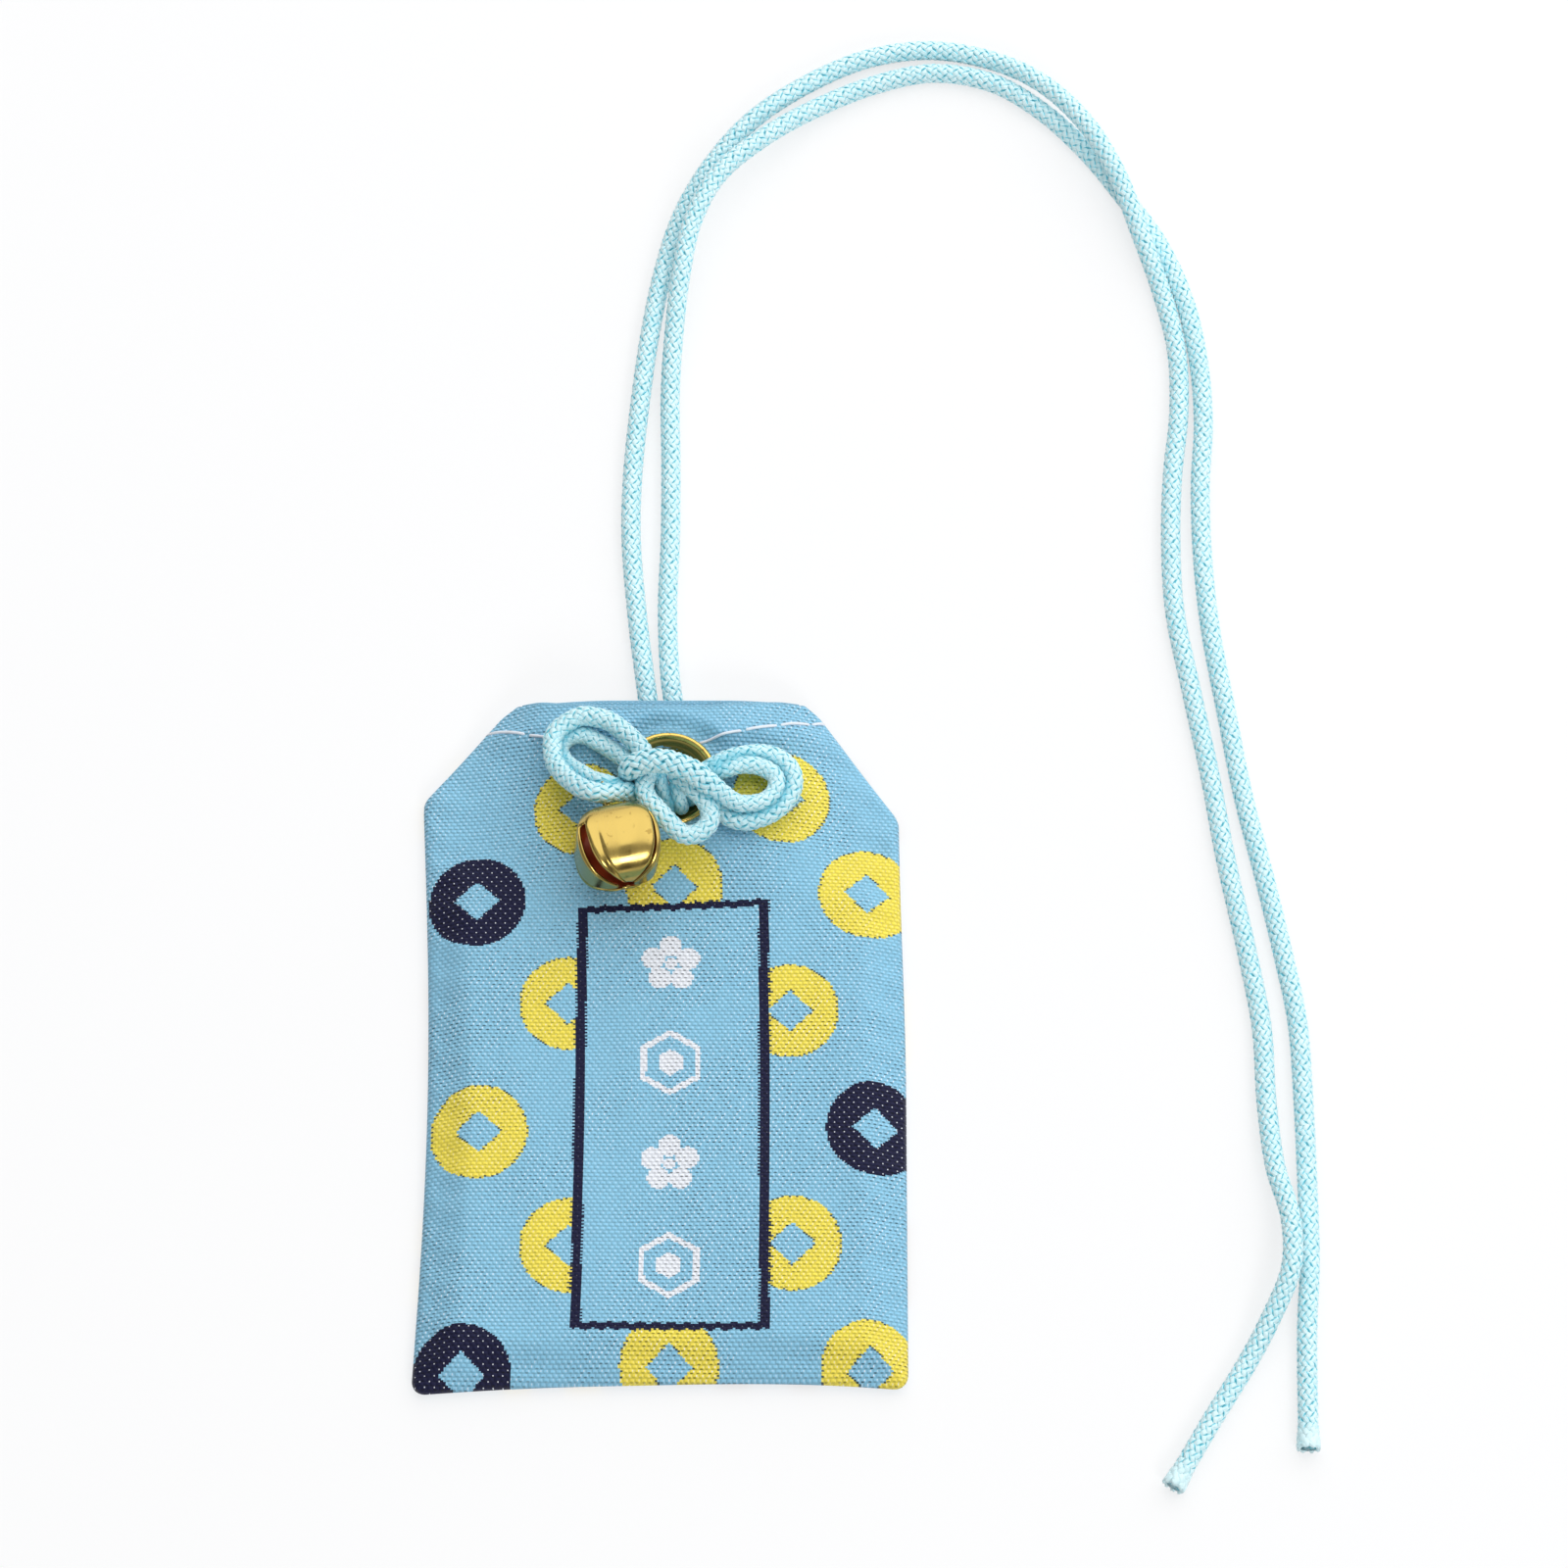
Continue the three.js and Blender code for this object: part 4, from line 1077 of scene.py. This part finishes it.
def braid(path, widen, flare, others):
    """Points, faces and yarn numbers of a round braid: yarns run both ways, over one and under one."""
    steps = reaches(path)
    normal = carried_normals(path)
    beside = np.cross(directions(path), normal)
    shape = np.ones((len(path), 1, 3))
    shape[:, 0, :2] = np.reshape(widen, (-1, 1))
    swell = np.ones(len(path))
    calm = np.ones(len(path))
    if flare:
        melted = smooth((steps - steps[-1] + END_FLARE_LENGTH) / END_FLARE_LENGTH)
        swell = 1 + END_FLARE * melted
        calm = 1 - END_MELT * melted
    core, core_faces = tube(path, normal, CORE_RADIUS * swell, CORE_RADIUS * swell, CORE_SIDES)
    core = core.reshape(len(path), CORE_SIDES, 3) - path[:, None]
    parts = [((path[:, None] + core * shape).reshape(-1, 3), core_faces)]
    numbers = [np.zeros((len(path) * CORE_SIDES, 3))]
    least = YARN_RADIUS - YARN_WAVE
    most = YARN_RADIUS + YARN_WAVE + YARN_HALF_HEIGHT
    across = np.cos(np.linspace(0, 2 * math.pi, YARN_SIDES, endpoint=False)) * calm[:, None]
    for way in (1, -1):
        for yarn in range(BRAID_YARNS):
            angle = way * 2 * math.pi * steps / BRAID_LAY + 2 * math.pi * yarn / BRAID_YARNS
            angle = angle + YARN_SWAY * np.sin(steps / SWAY_REACH + SWAY_TURN * yarn + way)
            over = way * np.cos(BRAID_YARNS * angle) * calm
            radius = (YARN_RADIUS + YARN_WAVE * over) * swell
            outward = np.cos(angle)[:, None] * normal + np.sin(angle)[:, None] * beside
            middle = path + radius[:, None] * outward * shape[:, 0]
            width = YARN_HALF_WIDTH * swell * (1 + YARN_SPREAD * over)
            ring, ring_faces = tube(middle, outward, width, YARN_HALF_HEIGHT * swell, YARN_SIDES)
            offset = ring.reshape(len(path), YARN_SIDES, 3) - path[:, None]
            depth = norm(offset / shape, axis=-1) / swell[:, None]
            depth = np.clip((depth - least) / (most - least), 0, 1)
            depth = np.maximum(depth, 1 - calm[:, None])
            # The painted crease shade is the same all round each yarn's section
            crease_shade = np.broadcast_to(painted_shade_near(middle, others)[:, None], depth.shape)
            parts.append((ring, ring_faces))
            numbers.append(np.dstack([across, crease_shade, depth]).reshape(-1, 3))
    return *joined(parts), np.vstack(numbers)


def end_cap(path, radius):
    """Points and faces of the plug inside a cut end of a cord."""
    tip = path[-1]
    along = directions(path)[-1]
    line = tip + along * np.linspace(-END_CAP_LENGTH, 0, 3)[:, None]
    normal = np.tile(carried_normals(path)[-1], (len(line), 1))
    return tube(line, normal, radius, radius, END_CAP_SIDES)


def corded(name, node, paths, widths, flare):
    """A mesh of one or more lengths of braid."""
    parts = []
    numbers = []
    for path, widen in zip(paths, widths):
        # The other strands of this piece, for the painted crease shade
        beside = [other[::SHADE_SKIP] for other in paths if other is not path]
        points, faces, yarn_numbers = braid(path, widen, flare, np.vstack(beside) if beside else None)
        parts.append((points, faces))
        numbers.append(yarn_numbers)
        if flare:
            cap = end_cap(path, END_CAP_SHARE * CORD_DIAMETER / 2 * (1 + END_FLARE))
            parts.append(cap)
            numbers.append(np.tile((0, 0, END_CAP_DEPTH), (len(cap[0]), 1)))
    piece = new_object(name, *joined(parts), cord)
    point_numbers(piece, "yarn", np.vstack(numbers))
    place_piece(piece, "pouch", node)
    return piece


strands = (("strand_left", "cord_left", LEFT_STRAND), ("strand_right", "cord_right", RIGHT_STRAND))
for name, node, strand in strands:
    lifted = [(x, y + TOP_EDGE, *(height or [CORD_LEVEL])) for x, y, *height in strand]
    route = spline(lifted, BRAID_STEP)
    piece = corded(name, node, [route], [1.0], True)
    length = float(reaches(route)[-1]) * MM

tails = [[(EYELET[0] + x + dx, EYELET[1] + dy, EYELET_FACE + dz) for dx, dy, dz in TAIL] for x in TAIL_X]
bow_lines = [
    (LEFT_EAR, EAR_WIDEN),
    (LEFT_EAR_INNER, INNER_WIDEN),
    (RIGHT_EAR, EAR_WIDEN),
    (MIDDLE_LOOP, LOOP_WIDEN),
    (INSIDE_LEFT, INSIDE_WIDEN),
    (INSIDE_RIGHT, INSIDE_WIDEN),
    (INSIDE_DEEP, INSIDE_WIDEN),
]
bow_lines += [(tail, LOOP_WIDEN) for tail in tails]
bow_paths = [spline(line, BRAID_STEP) for line, _ in bow_lines]
bow_widths = [widen for _, widen in bow_lines]
band_path = spline(BAND, BRAID_STEP)
band_rise = rise(band_path[:, 2], BAND_RISE, BAND_BLEND)
bow_paths.append(band_path)
bow_widths.append(INNER_WIDEN + (BAND_WIDEN - INNER_WIDEN) * band_rise)
corded("bow", "knot", bow_paths, bow_widths, False)


def joint(name):
    """A joint of the frame by its name."""
    return next(j for j in frame["joints"] if j["name"] == name)


hang = np.array(joint("bell_swing")["pos_m"]) / MM
bell_up = unit(np.array(joint("pellet_rattle")["axis"]))
bell_side = -unit(np.array(joint("bell_swing")["axis"]))
bell_crown = unit(np.cross(bell_up, bell_side))
bell_middle = hang - bell_crown * BELL_REACH


def bell_point(turn, tilt, inset=0.0):
    """A point of the bell's rounded-square shell: turn is about its axis, tilt is from the crown."""
    way = np.stack([np.sin(tilt) * np.cos(turn), np.sin(tilt) * np.sin(turn), np.cos(tilt)], axis=-1)
    square = (np.abs(way[..., :2]) ** BELL_SQUARENESS).sum(axis=-1) ** (1 / BELL_SQUARENESS)
    size = (square**BELL_FULLNESS + np.abs(way[..., 2]) ** BELL_FULLNESS) ** (-1 / BELL_FULLNESS)
    return way * ((BELL_RADIUS - inset) * size)[..., None]


def slot_edge(tilt, slot):
    """Turn from a slot's middle to its edge."""
    reach = norm(bell_point(np.full_like(tilt, math.pi / 4), tilt)[..., :2], axis=-1)
    return np.arcsin(np.clip(SLOT_WIDTHS[slot] / 2 / reach, 0, SLOT_LIMIT))


def petal_turns(tilts, k, share):
    """Turns of the points across one petal, at each tilt, from slot to slot."""
    first = (k - 0.5) * math.pi / 2 + slot_edge(tilts, k - 1)
    last = (k + 0.5) * math.pi / 2 - slot_edge(tilts, k)
    return first[:, None] + (last - first)[:, None] * (share + 1) / 2


def make_bell():
    """The bell's shell: a closed crown and four petals with slots between them."""
    tilt_top = math.acos(SLOT_TOP / BELL_RADIUS)
    share = np.linspace(-1, 1, PETAL_COLUMNS)
    turns = np.concatenate([petal_turns(np.array([tilt_top]), k, share)[0] for k in range(4)])
    tilts = np.linspace(tilt_top, CROWN_TIP, CROWN_ROWS)
    crown = bell_point(*np.meshgrid(turns, tilts))
    index = grid(CROWN_ROWS, len(turns))
    faces = quads(np.pad(index, ((0, 0), (0, 1)), mode="wrap"))[:, OTHER_WAY].tolist()
    faces.append(index[-1].tolist())
    parts = [(crown.reshape(-1, 3), faces)]
    tilts = np.linspace(tilt_top, math.pi - PETAL_END, PETAL_ROWS)
    lip = LIP_CURL * rise(np.abs(share), LIP_START, 1 - LIP_START)
    fold = FOLD_DEPTH * np.exp(-(((share + FOLD_PLACE) / FOLD_WIDTH) ** 2))
    ease = rise(tilts, tilt_top, PETAL_EASE)
    faces = quads(grid(PETAL_ROWS, PETAL_COLUMNS)).tolist()
    for k in range(4):
        turn = petal_turns(tilts, k, share)
        petal = bell_point(turn, tilts[:, None] + np.zeros_like(turn), (lip + fold)[None] * ease[:, None])
        parts.append((petal.reshape(-1, 3), faces))
    points, faces = joined(parts)
    face = bell_up * math.cos(BELL_ROLL) + bell_side * math.sin(BELL_ROLL)
    flank = bell_side * math.cos(BELL_ROLL) - bell_up * math.sin(BELL_ROLL)
    placed = bell_middle + points @ np.array([face, flank, bell_crown])
    piece = new_object("bell", placed, faces, bell_brass)
    weld = piece.modifiers.new("weld", "WELD")
    weld.merge_threshold = WELD_REACH * MM
    solid = piece.modifiers.new("wall", "SOLIDIFY")
    solid.thickness = BELL_WALL * MM
    solid.offset = -1
    # The wall's inner side takes the painted reflection
    solid.material_offset = 1
    piece.data.materials.append(bell_inside_reflection)
    finer = piece.modifiers.new("finer", "SUBSURF")
    finer.levels = 1
    finer.render_levels = 1
    return piece


place_piece(make_bell(), "bell", "bell_shell")

loop_turns = np.linspace(-math.pi / 2 + WIRE_OPENING, 1.5 * math.pi - WIRE_OPENING, WIRE_POINTS)
ring = [(WIRE_RADIUS * math.cos(t), WIRE_RADIUS * math.sin(t)) for t in loop_turns]
leg_end = BELL_RADIUS - WIRE_REACH - WIRE_SINK
leg_top = leg_end + WIRE_LEG_LENGTH
outline = [(WIRE_LEG, leg_end), (WIRE_LEG, leg_top), *ring, (-WIRE_LEG, leg_top), (-WIRE_LEG, leg_end)]
loop_middle = bell_middle + bell_crown * WIRE_REACH
wire = spline([loop_middle + bell_up * u + bell_crown * c for u, c in outline], WIRE_STEP)
sideways = np.tile(bell_side, (len(wire), 1))
wire_mesh = tube(wire, sideways, WIRE_DIAMETER / 2, WIRE_DIAMETER / 2, WIRE_SIDES)
bell_wire = new_object("bell_wire", *wire_mesh, bell_brass)
place_piece(bell_wire, "bell", "bell_loop")

pellet_low, pellet_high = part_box("bell_pellet")
pellet_radius = PELLET_DIAMETER / 2 * MM
bpy.ops.mesh.primitive_uv_sphere_add(segments=PELLET_SIDES, ring_count=PELLET_RINGS, radius=pellet_radius)
pellet = bpy.context.object
pellet.name = "pellet"
pellet.location = (pellet_low + pellet_high) / 2
pellet.data.shade_smooth()
pellet.data.materials.append(steel)
place_piece(pellet, "pellet", "bell_pellet")

inside_pieces = (
    ("inner_card", "card", card),
    ("prayer_slip", "paper", paper),
    ("seam_thread", "seam_thread", seam_thread),
)
for node, slot_name, material in inside_pieces:
    piece = frame["nodes"][node]
    piece.data.materials.clear()
    piece.data.materials.append(material)


def make_floor():
    """A pale floor that keeps soft shadows and is nearly white to the camera."""
    bpy.ops.mesh.primitive_plane_add(size=FLOOR_SIZE)
    floor = bpy.context.object
    floor.name = "floor"
    look = Look("floor", FLOOR_COLOUR, roughness=0.9)
    output = look.tree.nodes["Material Output"]
    path = look.node("LightPath", {})
    glow = look.node("Emission", {"Color": (1, 1, 1, 1), "Strength": 1.0})
    seen = look.maths("MAXIMUM", path.outputs["Is Camera Ray"], path.outputs["Is Glossy Ray"])
    seen = look.maths("MAXIMUM", seen, path.outputs["Is Transmission Ray"])
    share = look.times(seen, FLOOR_GLOW)
    mixed = look.node("MixShader", {0: share, 1: look.surface.outputs[0], 2: glow.outputs[0]})
    look.set(output, "Surface", mixed.outputs[0])
    floor.data.materials.append(look.material)


def area_light(name, place, size, power):
    """A soft rectangular light that faces the pouch."""
    data = bpy.data.lights.new(name, "AREA")
    data.shape = "RECTANGLE"
    data.size = size[0]
    data.size_y = size[1]
    data.energy = power
    light = in_scene(name, data)
    light.location = place
    light.rotation_euler = (Vector(LIGHT_TARGET) - light.location).to_track_quat("-Z", "Y").to_euler()


def make_world():
    """Pale light from all round, brighter overhead than at the horizon."""
    world = bpy.data.worlds.new("studio")
    nodes = Nodes(world)
    upward = nodes.split(nodes.node("TexCoord", {}).outputs["Generated"])[2]
    strength = nodes.step(upward, *HORIZON_RISE, HORIZON_LIGHT, OVERHEAD_LIGHT)
    background = nodes.tree.nodes["Background"]
    nodes.set(background, "Color", (1, 1, 1, 1))
    nodes.set(background, "Strength", strength)
    scene.world = world


make_floor()
make_world()
for light in LIGHTS:
    area_light(*light)

scene.view_settings.view_transform = "Standard"
camera_data = bpy.data.cameras.new("camera")
camera_data.lens = CAMERA_LENS
camera_data.sensor_width = CAMERA_SENSOR
camera = in_scene("camera", camera_data)
back_from = Vector((0, -math.cos(CAMERA_ELEVATION), math.sin(CAMERA_ELEVATION)))
camera.location = (Vector(CAMERA_TARGET) + back_from * CAMERA_DISTANCE) * MM
camera.rotation_euler = (math.pi / 2 - CAMERA_ELEVATION, 0, 0)
scene.camera = camera
